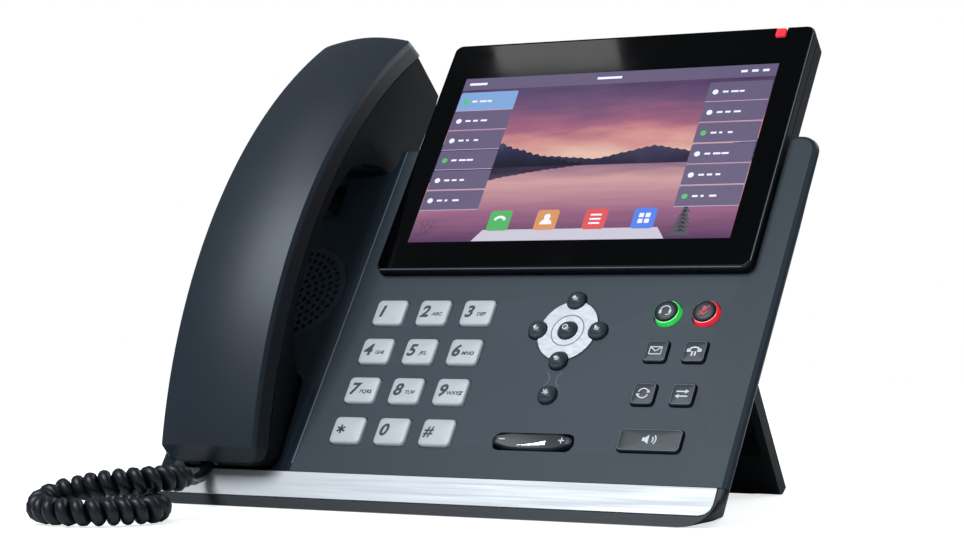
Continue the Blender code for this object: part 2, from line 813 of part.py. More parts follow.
def make_inner_shell(handset):
    shell = loft("handset_inner_shell", under_rings(0.0), "dark_shell", handset, smooth=True)
    hollow = loft("hollow_inner", under_rings(2.0), None, handset)
    holes = []
    for centre_v in (MOUTH_V, EAR_V):
        holes += [circle(1.1, 6, (CRADLE_X, centre_v))]
        for i in range(6):
            a = math.pi / 3 * i
            holes.append(circle(1.1, 6, (CRADLE_X + 5 * math.cos(a), centre_v + 5 * math.sin(a))))
    room = box_at((0, 0), PLUG, 0.2, GAP, 1)
    plug_hole = loft(
        "plug_hole",
        [[(PLUG_X + x, v, PLUG_N + n) for x, n in room] for v in (8, 31)],
        None,
        handset,
    )
    cut(shell, hollow, slabs("voice_holes", holes, -26, -6, handset), plug_hole)
    capsule = [(15.5, -17.0), (15.5, -10.0), (12, -7.0)]
    turned("earpiece_capsule", capsule, "steel", handset, (CRADLE_X, EAR_V, 0))
    turned("handset_microphone", [(5, -7.5), (5, -2.5)], "steel", handset, (CRADLE_X, MOUTH_V, 0), sides=16)


# ---------------------------------------------------------------- plugs and cord

def make_plugs(handset, floor):
    """A plug in the handset's lower end and one in the socket at the back."""
    rings = [
        [(PLUG_X + x, v, PLUG_N + n) for x, n in box_at((0, 0), size, 0.3, 0, 1)]
        for v, size in ((PLUG_END_V, (5.6, 5.4)), (PLUG_END_V + 2, PLUG), (30.5, PLUG))
    ]
    loft("handset_plug", rings, "clear_plug", handset)
    centre = (JACK_X[0], SOCKET_Z)
    rings = [
        [(x, y, z) for x, z in box_at(centre, size, 0.3, 0, 1)]
        for y, size in ((50.5, (7.4, 6.4)), (65.5, (7.4, 6.4)), (69.0, (5.6, 5.4)))
    ]
    loft("base_plug", rings, "clear_plug", floor)


def smooth_route(points, samples=2):
    """Points on the Catmull-Rom curve through the given points."""
    ends = [points[0] * 2 - points[1], *points, points[-1] * 2 - points[-2]]
    made = []
    for a, b, c, d in zip(ends, ends[1:], ends[2:], ends[3:]):
        for k in range(samples):
            t = k / samples
            made.append(
                0.5 * (2 * b + (c - a) * t + (2 * a - 5 * b + 4 * c - d) * t**2
                       + (3 * b - a - 3 * c + d) * t**3)
            )
    return made + [points[-1]]


def make_cord(floor):
    """The curly cord as one tube of its outer diameter, with a thin tail at each end."""
    route = [Vector(p) for p in FRONT_TAIL + COIL_ROUTE + BACK_TAIL]
    points = smooth_route(route)
    first = 2 * len(FRONT_TAIL) - 1
    last = len(points) - 2 * len(BACK_TAIL)
    curve = bpy.data.curves.new("handset_cord", "CURVE")
    curve.dimensions = "3D"
    curve.bevel_depth = COIL_DIAMETER / 2 * MM
    curve.bevel_resolution = 2
    curve.use_fill_caps = True
    spline = curve.splines.new("POLY")
    spline.points.add(len(points) - 1)
    for i, point in enumerate(points):
        spline.points[i].co = (*(point * MM), 1.0)
        thick = first <= i <= last
        spline.points[i].radius = 1.0 if thick else WIRE_DIAMETER / COIL_DIAMETER
    finish("handset_cord", curve, "cord", floor, (0, 0, 0))


# ---------------------------------------------------------------- stand


def make_stand(hinge, floor):
    """A ribbed plate that hangs on two pins; its own y axis runs from the hinge to the foot."""
    half, thick = STAND_HALF, STAND_THICK / 2
    side = [(2.0, -thick), (2.0, thick), (STAND_LENGTH, thick), (STAND_LENGTH, -thick)]
    plate = loft("stand", [[(x, y, z) for y, z in side] for x in (-half, half)], "dark_shell", hinge)
    barrel = loft(
        "stand_barrel",
        [[(x, y, z) for y, z in circle(thick, 16)] for x in (0.5 - half, half - 0.5)],
        None,
        hinge,
    )
    pins = loft(
        "stand_pins",
        [[(x, y, z) for y, z in circle(PIN_RADIUS, 16)] for x in (-half - 7.5, half + 7.5)],
        None,
        hinge,
    )
    cut(plate, barrel, pins, operation="UNION")
    slots = [rounded(-half + 4, half - 4, 8 + 15 * k, 20.6 + 15 * k, 1.5, 1) for k in range(5)]
    foot = slab("below_foot", rounded(-100, 100, 140, 230, 1, 1), -30, TABLE_GAP, None, floor)
    back = [rounded(-half + 5, half - 5, 9, 82, 2, 1)]
    cut(
        plate,
        slabs("front_slots", slots, -9, -1.0, hinge),
        slabs("back_recess", back, 1.4, 9, hinge),
        foot,
    )
    for side_x, name in ((-1, "stand_pad_left"), (1, "stand_pad_right")):
        centre = (side_x * 62.0, FOOT_Y)
        slab(name, box_at(centre, (26.0, 5.0), 1.5), 0.0, 1.8, "rubber", floor)
        seat = box_at(centre, (26.0, 5.0), 1.5, GAP)
        cut(plate, slab(name + "_seat", seat, -3.0, 2.1, None, floor))


def face_to_floor(v, n):
    y = v * math.cos(TILT) - n * math.sin(TILT)
    z = v * math.sin(TILT) + n * math.cos(TILT)
    return y, z


HINGE_Y, HINGE_Z = face_to_floor(HINGE_V, HINGE_N)
FOOT_Y = HINGE_Y + (HINGE_Z - TABLE_GAP) / math.tan(STAND_LEAN) + 0.4


def main():
    clear_scene()
    floor = make_frame("floor_frame", (0, -CENTRE_Y, 0), 0.0)
    face = make_frame("face_frame", (0, -CENTRE_Y, 0), TILT)
    handset = make_frame("handset_frame", (0, -CENTRE_Y, 0), TILT)
    hinge = make_frame("stand_hinge", (0, HINGE_Y - CENTRE_Y, HINGE_Z), -STAND_LEAN)
    bar = make_slab_shells(face)
    make_rear_cover(face, floor)
    make_sockets(face, floor)
    make_pads(floor, bar)
    make_screen(face)
    make_keys(face)
    make_insides(face)
    make_outer_shell(handset)
    make_inner_shell(handset)
    make_plugs(handset, floor)
    make_cord(floor)
    make_stand(hinge, floor)


main()
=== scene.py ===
"""The looks of a desk telephone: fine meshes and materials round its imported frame.

Lengths are in millimetres until a piece is made. Most pieces are built in the face frame:
x to the right, v up the sloping front face and n out of it, as in the frame's own design.
"""

import math

import bmesh
import bpy
from mathutils import Matrix, Vector
from mathutils.geometry import delaunay_2d_cdt


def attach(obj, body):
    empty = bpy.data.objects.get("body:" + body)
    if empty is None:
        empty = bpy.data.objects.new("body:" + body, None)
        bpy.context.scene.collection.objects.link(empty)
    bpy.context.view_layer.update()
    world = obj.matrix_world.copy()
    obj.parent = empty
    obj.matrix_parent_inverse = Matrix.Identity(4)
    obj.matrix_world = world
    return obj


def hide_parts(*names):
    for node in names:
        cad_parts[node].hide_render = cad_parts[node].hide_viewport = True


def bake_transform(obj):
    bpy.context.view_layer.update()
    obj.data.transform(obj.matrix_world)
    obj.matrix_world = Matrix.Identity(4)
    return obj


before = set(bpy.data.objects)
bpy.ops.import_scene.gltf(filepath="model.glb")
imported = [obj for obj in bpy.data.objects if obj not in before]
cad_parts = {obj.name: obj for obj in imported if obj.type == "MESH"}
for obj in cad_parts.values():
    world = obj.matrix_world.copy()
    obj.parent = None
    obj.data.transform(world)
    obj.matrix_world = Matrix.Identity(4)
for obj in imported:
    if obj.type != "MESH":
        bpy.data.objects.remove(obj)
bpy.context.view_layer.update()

MM = 0.001
GAP = 0.3
TILT = math.radians(55.3)
CENTRE_Y = 87.18
FLOOR = Matrix.Translation((0, -CENTRE_Y * MM, 0)) @ Matrix.Scale(MM, 4)
FACE = FLOOR @ Matrix.Rotation(TILT, 4, "X")

# The handset's curve, as the frame has it
CRADLE_X = -99.6
RIDGE_X = -65.4
ARC_V = 128.0
ARC_N = -201.0
PARTING_RADIUS = 234.5
CREASE_RADIUS = 242.0
HANDSET_ENDS = (17.9, 239.4)
HANDSET_HALF = 26.6
CREASE_HALF = 22.9
CROWN = 2.4
BLOCK_BASE = -10.5
EAR_DEEP = -22.0
MOUTH_V = 44.0
EAR_V = 212.5

# Keys and screen
DIAL_KEY = (15.0, 12.8)
FUNCTION_KEY = (10.0, 10.2)
SPEAKER_KEY = (27.4, 10.4)
ROCKER = (35.6, 7.6)
ROCKER_TURN = [math.pi / 2 * k / 5 for k in range(6)]
DIAL_LETTERS = {
    "1": "", "2": "ABC", "3": "DEF", "4": "GHI", "5": "JKL", "6": "MNO",
    "7": "PQRS", "8": "TUV", "9": "WXYZ", "star": "", "0": "", "hash": "",
}
ARROW_KEYS = ("nav_up_key", "nav_down_key", "nav_left_key", "nav_right_key")

# Lowest and highest n of the print on the dial keys and on the domed keys
DIAL_PRINT = (1.5, 1.72)
DOME_PRINT = (3.0, 3.36)

# The glass's front face, the picture's sides (left, right, bottom, top) and its waterline
GLASS_FRONT = 4.0
SCREEN = (-45.3, 107.1, 132.8, 224.2)
SHORE = 173.0
PEAK_END = 30.0
RIDGE_STEP = 0.7

# The curly cord: its wire (thicker where it is coiled, so that the turns close up), its coils, how far
# the coils take to grow and how much their turns open there, and its middle's route in the floor frame
WIRE = 4.6
COIL_WIRE = 5.3
COIL_RADIUS = 2.85
COIL_PITCH = 5.4
COIL_GROWTH = 12.0
COIL_OPENING = 4.0
WIRE_SIDES = 12
FRONT_TAIL = (
    (-105.0, 9.0, 17.2),
    (-105.0, 6.3, 14.8),
    (-103.6, 1.5, 12.3),
    (-99.6, -7.5, 12.0),
    (-93.5, -18.0, 12.3),
    (-85.0, -32.0, 13.4),
)
COIL_ROUTE = (
    (-74.5, -49.0, 15.0),
    (-70.5, -61.0, 16.2),
    (-73.0, -73.0, 16.4),
    (-81.0, -81.0, 15.7),
    (-90.0, -85.5, 14.5),
    (-97.5, -87.0, 13.0),
    (-104.3, -90.2, 11.2),
    (-107.3, -97.2, 8.6),
    (-103.2, -105.0, 6.5),
    (-95.5, -109.3, 6.0),
    (-86.5, -110.0, 5.85),
    (-77.0, -106.0, 5.85),
    (-69.5, -97.5, 5.85),
    (-64.5, -86.5, 5.85),
    (-68.5, -76.0, 5.85),
    (-79.5, -69.0, 5.75),
    (-96.0, -63.5, 5.6),
    (-112.0, -53.0, 5.6),
    (-126.0, -37.0, 5.6),
    (-136.5, -18.0, 5.6),
    (-142.5, 2.0, 5.6),
    (-145.0, 25.0, 5.6),
    (-145.0, 47.0, 5.6),
    (-144.0, 66.0, 5.8),
)
BACK_TAIL = (
    (-141.5, 76.5, 5.3),
    (-137.0, 86.5, 3.5),
    (-128.0, 93.5, 3.0),
    (-117.0, 95.0, 4.2),
    (-108.5, 90.5, 8.5),
    (-104.8, 82.5, 13.8),
    (-104.5, 75.5, 16.8),
    (-104.5, 69.3, 17.5),
)


# ---------------------------------------------------------------- places


def extent(node, axes=FACE):
    """Lowest and highest corner of a CAD node in the given frame, in millimetres."""
    inverse = axes.inverted()
    points = [inverse @ v.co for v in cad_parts[node].data.vertices]
    return [Vector(pick(p[k] for p in points) for k in range(3)) for pick in (min, max)]


def middle(node):
    low, high = extent(node)
    return (low + high) / 2


# ---------------------------------------------------------------- shapes


def rounded(half_x, half_y, radius, centre=(0.0, 0.0), steps=6):
    points = []
    for k, (sx, sy) in enumerate(((-1, -1), (1, -1), (1, 1), (-1, 1))):
        for i in range(steps + 1):
            a = math.pi * (1 + k / 2) + math.pi / 2 * i / steps
            x = sx * (half_x - radius) + radius * math.cos(a)
            y = sy * (half_y - radius) + radius * math.sin(a)
            points.append((centre[0] + x, centre[1] + y))
    return points


def arc(centre, radius, start, end, steps=12, squash=1.0):
    """Points on an arc, with its angles in degrees."""
    made = []
    for i in range(steps + 1):
        a = math.radians(start + (end - start) * i / steps)
        made.append((centre[0] + radius * math.cos(a), centre[1] + radius * squash * math.sin(a)))
    return made


def circle(radius, sides=32, centre=(0.0, 0.0), squash=1.0):
    return arc(centre, radius, 0, 360 - 360 / sides, sides - 1, squash)


def level(outline, height):
    return [(x, y, height) for x, y in outline]


def add_loft(shape, rings, closed=False, caps=True):
    loops = [[shape.verts.new(p) for p in ring] for ring in rings]
    pairs = list(zip(loops, loops[1:]))
    if closed:
        pairs.append((loops[-1], loops[0]))
    for low, high in pairs:
        for i in range(len(low)):
            j = (i + 1) % len(low)
            shape.faces.new((low[i], low[j], high[j], high[i]))
    if caps and not closed:
        shape.faces.new(loops[0][::-1])
        shape.faces.new(loops[-1])


def add_prism(shape, outline, low, high):
    add_loft(shape, [level(outline, low), level(outline, high)])


def add_stroke(shape, points, width, low, high, closed=False):
    """A flat ribbon of the given width along a line of (x, y) points."""
    rings = []
    count = len(points)
    for i, point in enumerate(points):
        before = points[(i - 1) % count] if closed or i else point
        after = points[(i + 1) % count] if closed or i < count - 1 else point
        along = Vector((after[0] - before[0], after[1] - before[1])).normalized()
        side = Vector((-along.y, along.x)) * width / 2
        left = (point[0] + side.x, point[1] + side.y)
        right = (point[0] - side.x, point[1] - side.y)
        rings.append([(*left, low), (*left, high), (*right, high), (*right, low)])
    add_loft(shape, rings, closed)


def add_bar(shape, spot, reach, width, low, high):
    """A straight bar through the spot; reach is half its length along x and y."""
    ends = [(spot[0] + side * reach[0], spot[1] + side * reach[1]) for side in (-1, 1)]
    add_stroke(shape, ends, width, low, high)


def turned(profile, sides=40, centre=(0.0, 0.0)):
    shape = bmesh.new()
    add_loft(shape, [level(circle(r, sides, centre), h) for r, h in profile])
    return shape


def catmull(points, samples):
    """Points on the Catmull-Rom curve through the given vectors."""
    ends = [points[0] * 2 - points[1], *points, points[-1] * 2 - points[-2]]
    made = []
    for a, b, c, d in zip(ends, ends[1:], ends[2:], ends[3:]):
        for k in range(samples):
            t = k / samples
            made.append(
                0.5 * (2 * b + (c - a) * t + (2 * a - 5 * b + 4 * c - d) * t**2
                       + (3 * b - a - 3 * c + d) * t**3)
            )
    return made + [points[-1]]


def new_object(name, data):
    made = bpy.data.objects.new(name, data)
    bpy.context.scene.collection.objects.link(made)
    return made


def piece(name, shape, look, body, axes=FACE, smooth=0, replaces=()):
    """Turns a bmesh in millimetres into a piece that rides on a body."""
    bmesh.ops.recalc_face_normals(shape, faces=shape.faces)
    shape.transform(axes)
    data = bpy.data.meshes.new(name)
    shape.to_mesh(data)
    shape.free()
    if smooth:
        data.shade_smooth()
        data.set_sharp_from_angle(angle=math.radians(smooth))
    data.materials.append(look)
    made = new_object(name, data)
    if body:
        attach(made, body)
    if replaces:
        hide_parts(*replaces)
    return made


# ---------------------------------------------------------------- materials


def set_inputs(tree, target, inputs):
    """Links or sets inputs of a shader node."""
    for key, value in inputs.items():
        socket = target.inputs[key]
        if isinstance(value, bpy.types.NodeSocket):
            tree.links.new(value, socket)
        else:
            socket.default_value = value


def node(tree, kind, inputs=None, **settings):
    made = tree.nodes.new(kind)
    for key, value in settings.items():
        setattr(made, key, value)
    set_inputs(tree, made, inputs or {})
    return made


def colour(value):
    """A linear colour from a 0 to 255 sRGB triple."""
    made = [c / 255 / 12.92 if c <= 10 else ((c / 255 + 0.055) / 1.055) ** 2.4 for c in value]
    return (*made, 1.0)


def start_material(name):
    """A new material, its nodes, its shader and the place that its textures follow."""
    made = bpy.data.materials.new(name)
    made.use_nodes = True
    tree = made.node_tree
    return made, tree, tree.nodes["Principled BSDF"], node(tree, "ShaderNodeTexCoord").outputs["Object"]


def noise(tree, where, scale, detail=2.0, stretch=None):
    vector = where
    if stretch:
        vector = node(tree, "ShaderNodeMapping", {"Vector": where, "Scale": stretch}).outputs[0]
    made = node(tree, "ShaderNodeTexNoise", {"Vector": vector, "Scale": scale, "Detail": detail})
    return made.outputs["Fac"]


def blend_colours(tree, factor, first, second):
    return node(tree, "ShaderNodeMix", {"Factor": factor, 6: first, 7: second}, data_type="RGBA").outputs[2]


def mottled(tree, factor, dark, light):
    """A shade that drifts between two sRGB colours."""
    return blend_colours(tree, factor, colour(dark), colour(light))


def spread_of(tree, value, low, high, start=0.35, end=0.65):
    made = node(tree, "ShaderNodeMapRange", {
        "Value": value, "From Min": start, "From Max": end, "To Min": low, "To Max": high})
    return made.outputs[0]


def moulded(name, dark, light, roughness, grain=3200.0, bump=0.1, edge=0.25, shine=0.5):
    """Moulded plastic: a slow drift of tone, a fine spark-eroded grain and a painted highlight on its sharp
    edges.
    """
    made, tree, shader, where = start_material(name)
    shade = mottled(tree, noise(tree, where, 38.0), dark, light)
    # Sharp convex edges blend towards a paler colour, as far as edge asks: a painted highlight along the
    # edges.
    sharp = node(tree, "ShaderNodeNewGeometry").outputs["Pointiness"]
    edge_highlight = spread_of(tree, sharp, 0.0, edge, 0.53, 0.62)
    pale = [min(255, c * 1.5 + 18) for c in light]
    fine = noise(tree, where, grain, 3.0)
    lift = node(tree, "ShaderNodeBump", {"Height": fine, "Strength": bump, "Distance": 0.00008})
    set_inputs(tree, shader, {
        "Base Color": blend_colours(tree, edge_highlight, shade, colour(pale)),
        "Roughness": spread_of(tree, fine, roughness - 0.04, roughness + 0.05),
        "Normal": lift.outputs[0],
        "Specular IOR Level": shine,
    })
    return made


def brushed(name, dark, light, roughness, stretch, metallic=1.0):
    """Metal with long fine scratches, drawn out along one direction."""
    made, tree, shader, where = start_material(name)
    lines = noise(tree, where, 900.0, 4.0, stretch)
    first = mottled(tree, lines, dark, light)
    lift = node(tree, "ShaderNodeBump", {"Height": lines, "Strength": 0.12, "Distance": 0.00005})
    set_inputs(tree, shader, {
        "Base Color": blend_colours(tree, noise(tree, where, 14.0), first, colour(light)),
        "Roughness": spread_of(tree, lines, roughness - 0.05, roughness + 0.1),
        "Normal": lift.outputs[0],
        "Metallic": metallic,
    })
    return made


def add_glow(tree, shader, shade, strength):
    if strength:
        set_inputs(tree, shader, {"Emission Color": shade, "Emission Strength": strength})


def glossy(name, dark, light, roughness=0.06, smear=30.0, glow=0.0, coat=0.5, shine=0.5):
    """Glass or gloss plastic: nearly even, with a faint smear in its polish."""
    made, tree, shader, where = start_material(name)
    cloud = noise(tree, where, smear, 3.0)
    shade = mottled(tree, cloud, dark, light)
    set_inputs(tree, shader, {
        "Base Color": shade,
        "Roughness": spread_of(tree, cloud, roughness, roughness + 0.05),
        "Coat Weight": coat,
        "Coat Roughness": 0.04,
        "Specular IOR Level": shine,
    })
    add_glow(tree, shader, shade, glow)
    return made


def printed(name, dark, light, glow=0.0):
    """Ink, a lit icon, or a painted line of light or shade: a thin even film with a slightly uneven edge to
    its tone.
    """
    made, tree, shader, where = start_material(name)
    speckle = noise(tree, where, 5000.0)
    shade = mottled(tree, speckle, dark, light)
    set_inputs(tree, shader, {"Base Color": shade, "Roughness": spread_of(tree, speckle, 0.35, 0.5)})
    add_glow(tree, shader, shade, glow)
    return made


def circuit(name):
    """A green circuit board with a pattern of copper tracks under the mask."""
    made, tree, shader, where = start_material(name)
    tracks = node(tree, "ShaderNodeTexBrick", {"Vector": where, "Scale": 160.0, "Mortar Size": 0.03})
    shade = mottled(tree, tracks.outputs["Fac"], (16, 74, 44), (70, 128, 78))
    set_inputs(tree, shader, {"Base Color": shade, "Roughness": 0.35})
    return made


LOOKS = {
    "shell": moulded("slate_plastic", (30, 39, 48), (35, 45, 55), 0.46, shine=0.35),
    "dark_shell": moulded("black_plastic", (15, 18, 22), (20, 23, 28), 0.46, bump=0.16, edge=0.1, shine=0.35),
    "handset": moulded("handset_plastic", (28, 36, 45), (33, 42, 52), 0.4, bump=0.03, edge=0.2, shine=0.45),
    # A darker copy of the handset plastic for the shell's flat sides: painted shade.
    "handset_painted_side_shade": moulded(
        "handset_painted_side_shade_plastic", (18, 22, 27), (22, 26, 32), 0.44, bump=0.05, edge=0.0, shine=0.3),
    "strip": brushed("brushed_strip", (168, 167, 168), (196, 195, 196), 0.46, (0.02, 1.0, 1.0), 0.6),
    "silver": brushed("satin_silver", (164, 163, 166), (184, 183, 186), 0.4, (0.3, 1.0, 1.0), 0.5),
    "chrome": brushed("bright_edge", (206, 208, 212), (232, 233, 236), 0.14, (1.0, 1.0, 1.0)),
    "dial_key": moulded("dial_key_paint", (192, 191, 193), (206, 205, 207), 0.34, 4200.0, 0.03, 0.25),
    "dark_key": moulded("dark_key_plastic", (22, 27, 33), (28, 34, 41), 0.36, 4200.0, 0.04, 0.35, shine=0.35),
    # Paler than the dark keys: a painted highlight on the rounded rim at their top.
    "key_edge_highlight": moulded("key_edge_highlight_plastic", (70, 78, 88), (84, 92, 102), 0.32, 4200.0, 0.03, 0.0),
    "ball": glossy("gloss_black_plastic", (48, 54, 62), (62, 69, 78), 0.24, 60.0, coat=0.4),
    "glass": glossy("cover_glass_black", (2, 2, 3), (4, 4, 6), 0.03, coat=0.0, shine=0.12),
    "panel": glossy("screen_panel", (30, 24, 44), (44, 34, 60), 0.2),
    # The bright ring colours glow. On the headset and mute skirts the bright copies are a painted highlight
    # on the lower right and the dim copies painted shade on the rest; the message light takes the bright red
    # copy whole.
    "green_light": glossy("green_ring", (24, 170, 62), (60, 214, 92), 0.2, 300.0, 0.8),
    "green_light_painted_shade": glossy("green_ring_painted_shade", (16, 84, 34), (24, 104, 44), 0.2, 300.0, 0.1),
    "red_light_painted_shade": glossy("red_ring_painted_shade", (92, 18, 24), (112, 26, 32), 0.2, 300.0, 0.1),
    "red_light": glossy("red_ring", (190, 24, 38), (232, 46, 58), 0.2, 300.0, 0.8),
    "rubber": moulded("rubber_pad", (20, 20, 21), (28, 28, 29), 0.8, 1500.0, 0.4, 0.05),
    "cord": moulded("cord_sheath", (13, 17, 22), (18, 23, 29), 0.36, 2600.0, 0.04, 0.0, shine=0.4),
    "plug": glossy("pale_plug", (150, 155, 160), (176, 180, 184), 0.15, 200.0),
    "board": circuit("circuit_board"),
    "silicone": moulded("silicone_sheet", (150, 152, 156), (166, 168, 172), 0.6, 900.0, 0.2, 0.0),
    "steel": brushed("drawn_steel", (120, 122, 126), (168, 170, 174), 0.35, (1.0, 1.0, 0.1)),
    "gold": brushed("gold_contact", (206, 160, 70), (232, 190, 98), 0.25, (1.0, 0.2, 1.0)),
    "ink": printed("dark_ink", (20, 21, 24), (28, 29, 33)),
    "pale_ink": printed("pale_ink", (214, 219, 224), (230, 234, 238)),
    "red_ink": printed("red_ink", (186, 40, 50), (206, 54, 62), 0.3),
    # A pale line colour: along the cradle ridge and the bezel's edge it is a painted highlight.
    "pale_line": printed("pale_line_colour", (84, 94, 104), (96, 106, 117)),
    # plate_shade is a darker ring on the silver plate, and groove is near-black for holes, recesses and the
    # sheet behind the grille: painted shade.
    "plate_shade": printed("plate_shade", (120, 124, 130), (136, 140, 146)),
    "groove": printed("groove_shade", (12, 14, 17), (18, 20, 24)),
    "tile": printed("tile_glass", (66, 50, 82), (78, 60, 94), 0.5),
    "tile_line": printed("tile_line", (150, 128, 158), (168, 146, 172), 0.7),
    "tile_glow": printed("tile_glow", (84, 116, 160), (112, 146, 186), 0.55),
    "screen_white": printed("screen_white", (196, 192, 206), (212, 208, 220), 0.6),
    "tray": printed("tray", (150, 142, 154), (172, 164, 174), 0.7),
    "screen_green": printed("screen_green", (40, 150, 66), (56, 166, 82), 0.6),
    "screen_dark": printed("screen_dark", (34, 24, 40), (44, 32, 50), 0.3),
    "app_green": printed("button_green", (34, 132, 50), (50, 150, 64), 0.6),
    "app_amber": printed("button_amber", (170, 104, 40), (188, 120, 54), 0.6),
    "app_red": printed("button_red", (176, 28, 34), (194, 40, 44), 0.6),
    "app_blue": printed("button_blue", (34, 82, 176), (50, 98, 192), 0.6),
}

NODE_LOOKS = {
    "shell": ("front_cover",),
    "dark_shell": ("bottom_bar", "rear_cover", "port_block", "handset_jacks", "display_bezel",
                   "display_rear_cover", "hang_tab", "stand", "handset_inner_shell"),
    "strip": ("metal_strip",),
    "silver": ("nav_plate",),
    "dark_key": ("hook_switch",),
    "glass": ("cover_glass",),
    "panel": ("lcd_panel",),
    "red_light": ("message_light",),
    "rubber": ("base_pad_left", "base_pad_right", "stand_pad_left", "stand_pad_right"),
    "plug": ("base_plug", "handset_plug"),
    "board": ("keypad_board", "main_board"),
    "silicone": ("keypad_membrane",),
    "steel": ("loudspeaker", "earpiece_capsule", "handset_microphone"),
}
SOFT_EDGE = {
    "bottom_bar": 0.4, "metal_strip": 0.15, "cover_glass": 0.15, "nav_plate": 0.25,
    "display_bezel": 0.2, "hang_tab": 0.25, "stand": 0.3,
}


def refine(name, look):
    """Gives a CAD node its material and soft edges; its own mesh stays as it is."""
    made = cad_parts[name]
    data = made.data
    data.materials.clear()
    data.materials.append(look)
    stored = data.attributes.get("custom_normal")
    if stored:
        data.attributes.remove(stored)
    data.shade_smooth()
    data.set_sharp_from_angle(angle=math.radians(30))
    if name not in SOFT_EDGE:
        return made
    weld = made.modifiers.new("weld", "WELD")
    weld.merge_threshold = 0.000002
    flat = made.modifiers.new("flat", "DECIMATE")
    flat.decimate_type = "DISSOLVE"
    flat.angle_limit = math.radians(0.6)
    edge = made.modifiers.new("edge", "BEVEL")
    edge.width = SOFT_EDGE[name] * MM
    edge.segments = 3
    edge.limit_method = "ANGLE"
    edge.angle_limit = math.radians(28)
    edge.miter_outer = "MITER_ARC"
    even = made.modifiers.new("even", "WEIGHTED_NORMAL")
    even.weight = 90
    return made


# ---------------------------------------------------------------- the handset


def arc_point(x, radius, angle):
    return (x, ARC_V + radius * math.sin(angle), ARC_N + radius * math.cos(angle))


def arc_angle(v):
    return math.asin((v - ARC_V) / PARTING_RADIUS)


def end_inset(distance, radius=7.0):
    """How far a rounded end draws the sides in, at a distance from the end."""
    if distance >= radius:
        return 0.0
    return radius - math.sqrt(radius**2 - (radius - distance) ** 2)


def shell_profile(half, crease_half, height):
    """Half of the outer shell's cross section: a flat side, a tight crease and a low dome."""
    base = PARTING_RADIUS + GAP / 2
    crease = PARTING_RADIUS + height
    crown = CROWN * height / 7.5
    side = [(half - 0.25, base), (half, base + 0.3), (crease_half + 1.3, crease - 2.1)]
    turn = [(crease_half + x, crease - n) for x, n in ((0.95, 1.35), (0.5, 0.6), (0.0, 0.05))]
    dome = [(crease_half * k / 10, crease + crown * (1 - (k / 10) ** 2)) for k in range(9, -1, -1)]
    return side + turn + dome


def make_handset_shell():
    first, last = (arc_angle(v) for v in HANDSET_ENDS)
    full = CREASE_RADIUS - PARTING_RADIUS
    span = 233.0
    ends = (0.0, 0.25, 0.7, 1.4, 2.2, 3.2, 4.5, 6.0, 7.5)
    stations = [*ends, *(9 + 215 * k / 56 for k in range(57)), *(span - s for s in ends[::-1])]
    rings = []
    for s in stations:
        angle = first + (last - first) * s / span
        draw = max(end_inset(s), end_inset(span - s, 4.5))
        height = full * min(1.0, 0.3 + s / 8.5)
        half = shell_profile(HANDSET_HALF - draw, CREASE_HALF - draw, height)
        section = [(-x, r) for x, r in half] + [(x, r) for x, r in half[-2::-1]]
        rings.append([(CRADLE_X + x, *arc_point(0, r, angle)[1:]) for x, r in section])
    shape = bmesh.new()
    add_loft(shape, rings)
    made = piece("handset_back", shape, LOOKS["handset"], "handset", FACE, 24,
                 ("handset_outer_shell",))
    # The flat sides of the shell take the darker copy of its plastic: painted shade.
    made.data.materials.append(LOOKS["handset_painted_side_shade"])
    count = len(rings[0])
    for face in made.data.polygons[:-2]:
        column = face.index % count
        if column < 2 or column > count - 4:
            face.material_index = 1
    return made


def make_handset_details():
    """Sound holes in both blocks."""
    for name, v, n, rings in (
        ("mouth_holes", MOUTH_V, BLOCK_BASE, ((0, 1), (3.4, 6))),
        ("ear_holes", EAR_V, EAR_DEEP, ((0, 1), (3.4, 6), (6.8, 12))),
    ):
        shape = bmesh.new()
        for radius, count in rings:
            for k in range(count):
                a = 2 * math.pi * k / count
                spot = (CRADLE_X + radius * math.cos(a), v + radius * math.sin(a))
                # Each hole is a near-black disc on the block's face: painted shade in place of a real hole.
                add_prism(shape, circle(0.8, 12, spot), n - 0.02, n + 0.2)
        piece(name, shape, LOOKS["groove"], "handset")


# ---------------------------------------------------------------- keys


def add_cap(shape, size, radius, low, height, centre=(0.0, 0.0), soft=0.8, crown=0.25):
    """A key cap: straight sides, a rounded rim and a slightly pillowed top."""
    half_x, half_y = size[0] / 2, size[1] / 2
    rim = height - crown
    rings = [level(rounded(half_x, half_y, radius, centre), low)]
    for k in range(5):
        a = math.pi / 2 * k / 4
        inset = soft * (1 - math.cos(a))
        outline = rounded(half_x - inset, half_y - inset, max(radius - inset, 0.3), centre)
        rings.append(level(outline, rim - soft * (1 - math.sin(a))))
    for share in (0.8, 0.55, 0.3, 0.08):
        top = height - crown * share**2
        inner_x, inner_y = (half_x - soft) * share, (half_y - soft) * share
        outline = rounded(inner_x, inner_y, max(radius - soft, 0.3) * share, centre)
        rings.append(level(outline, top))
    add_loft(shape, rings)


def spot_of(name):
    centre = middle(name)
    return (centre.x, centre.y)


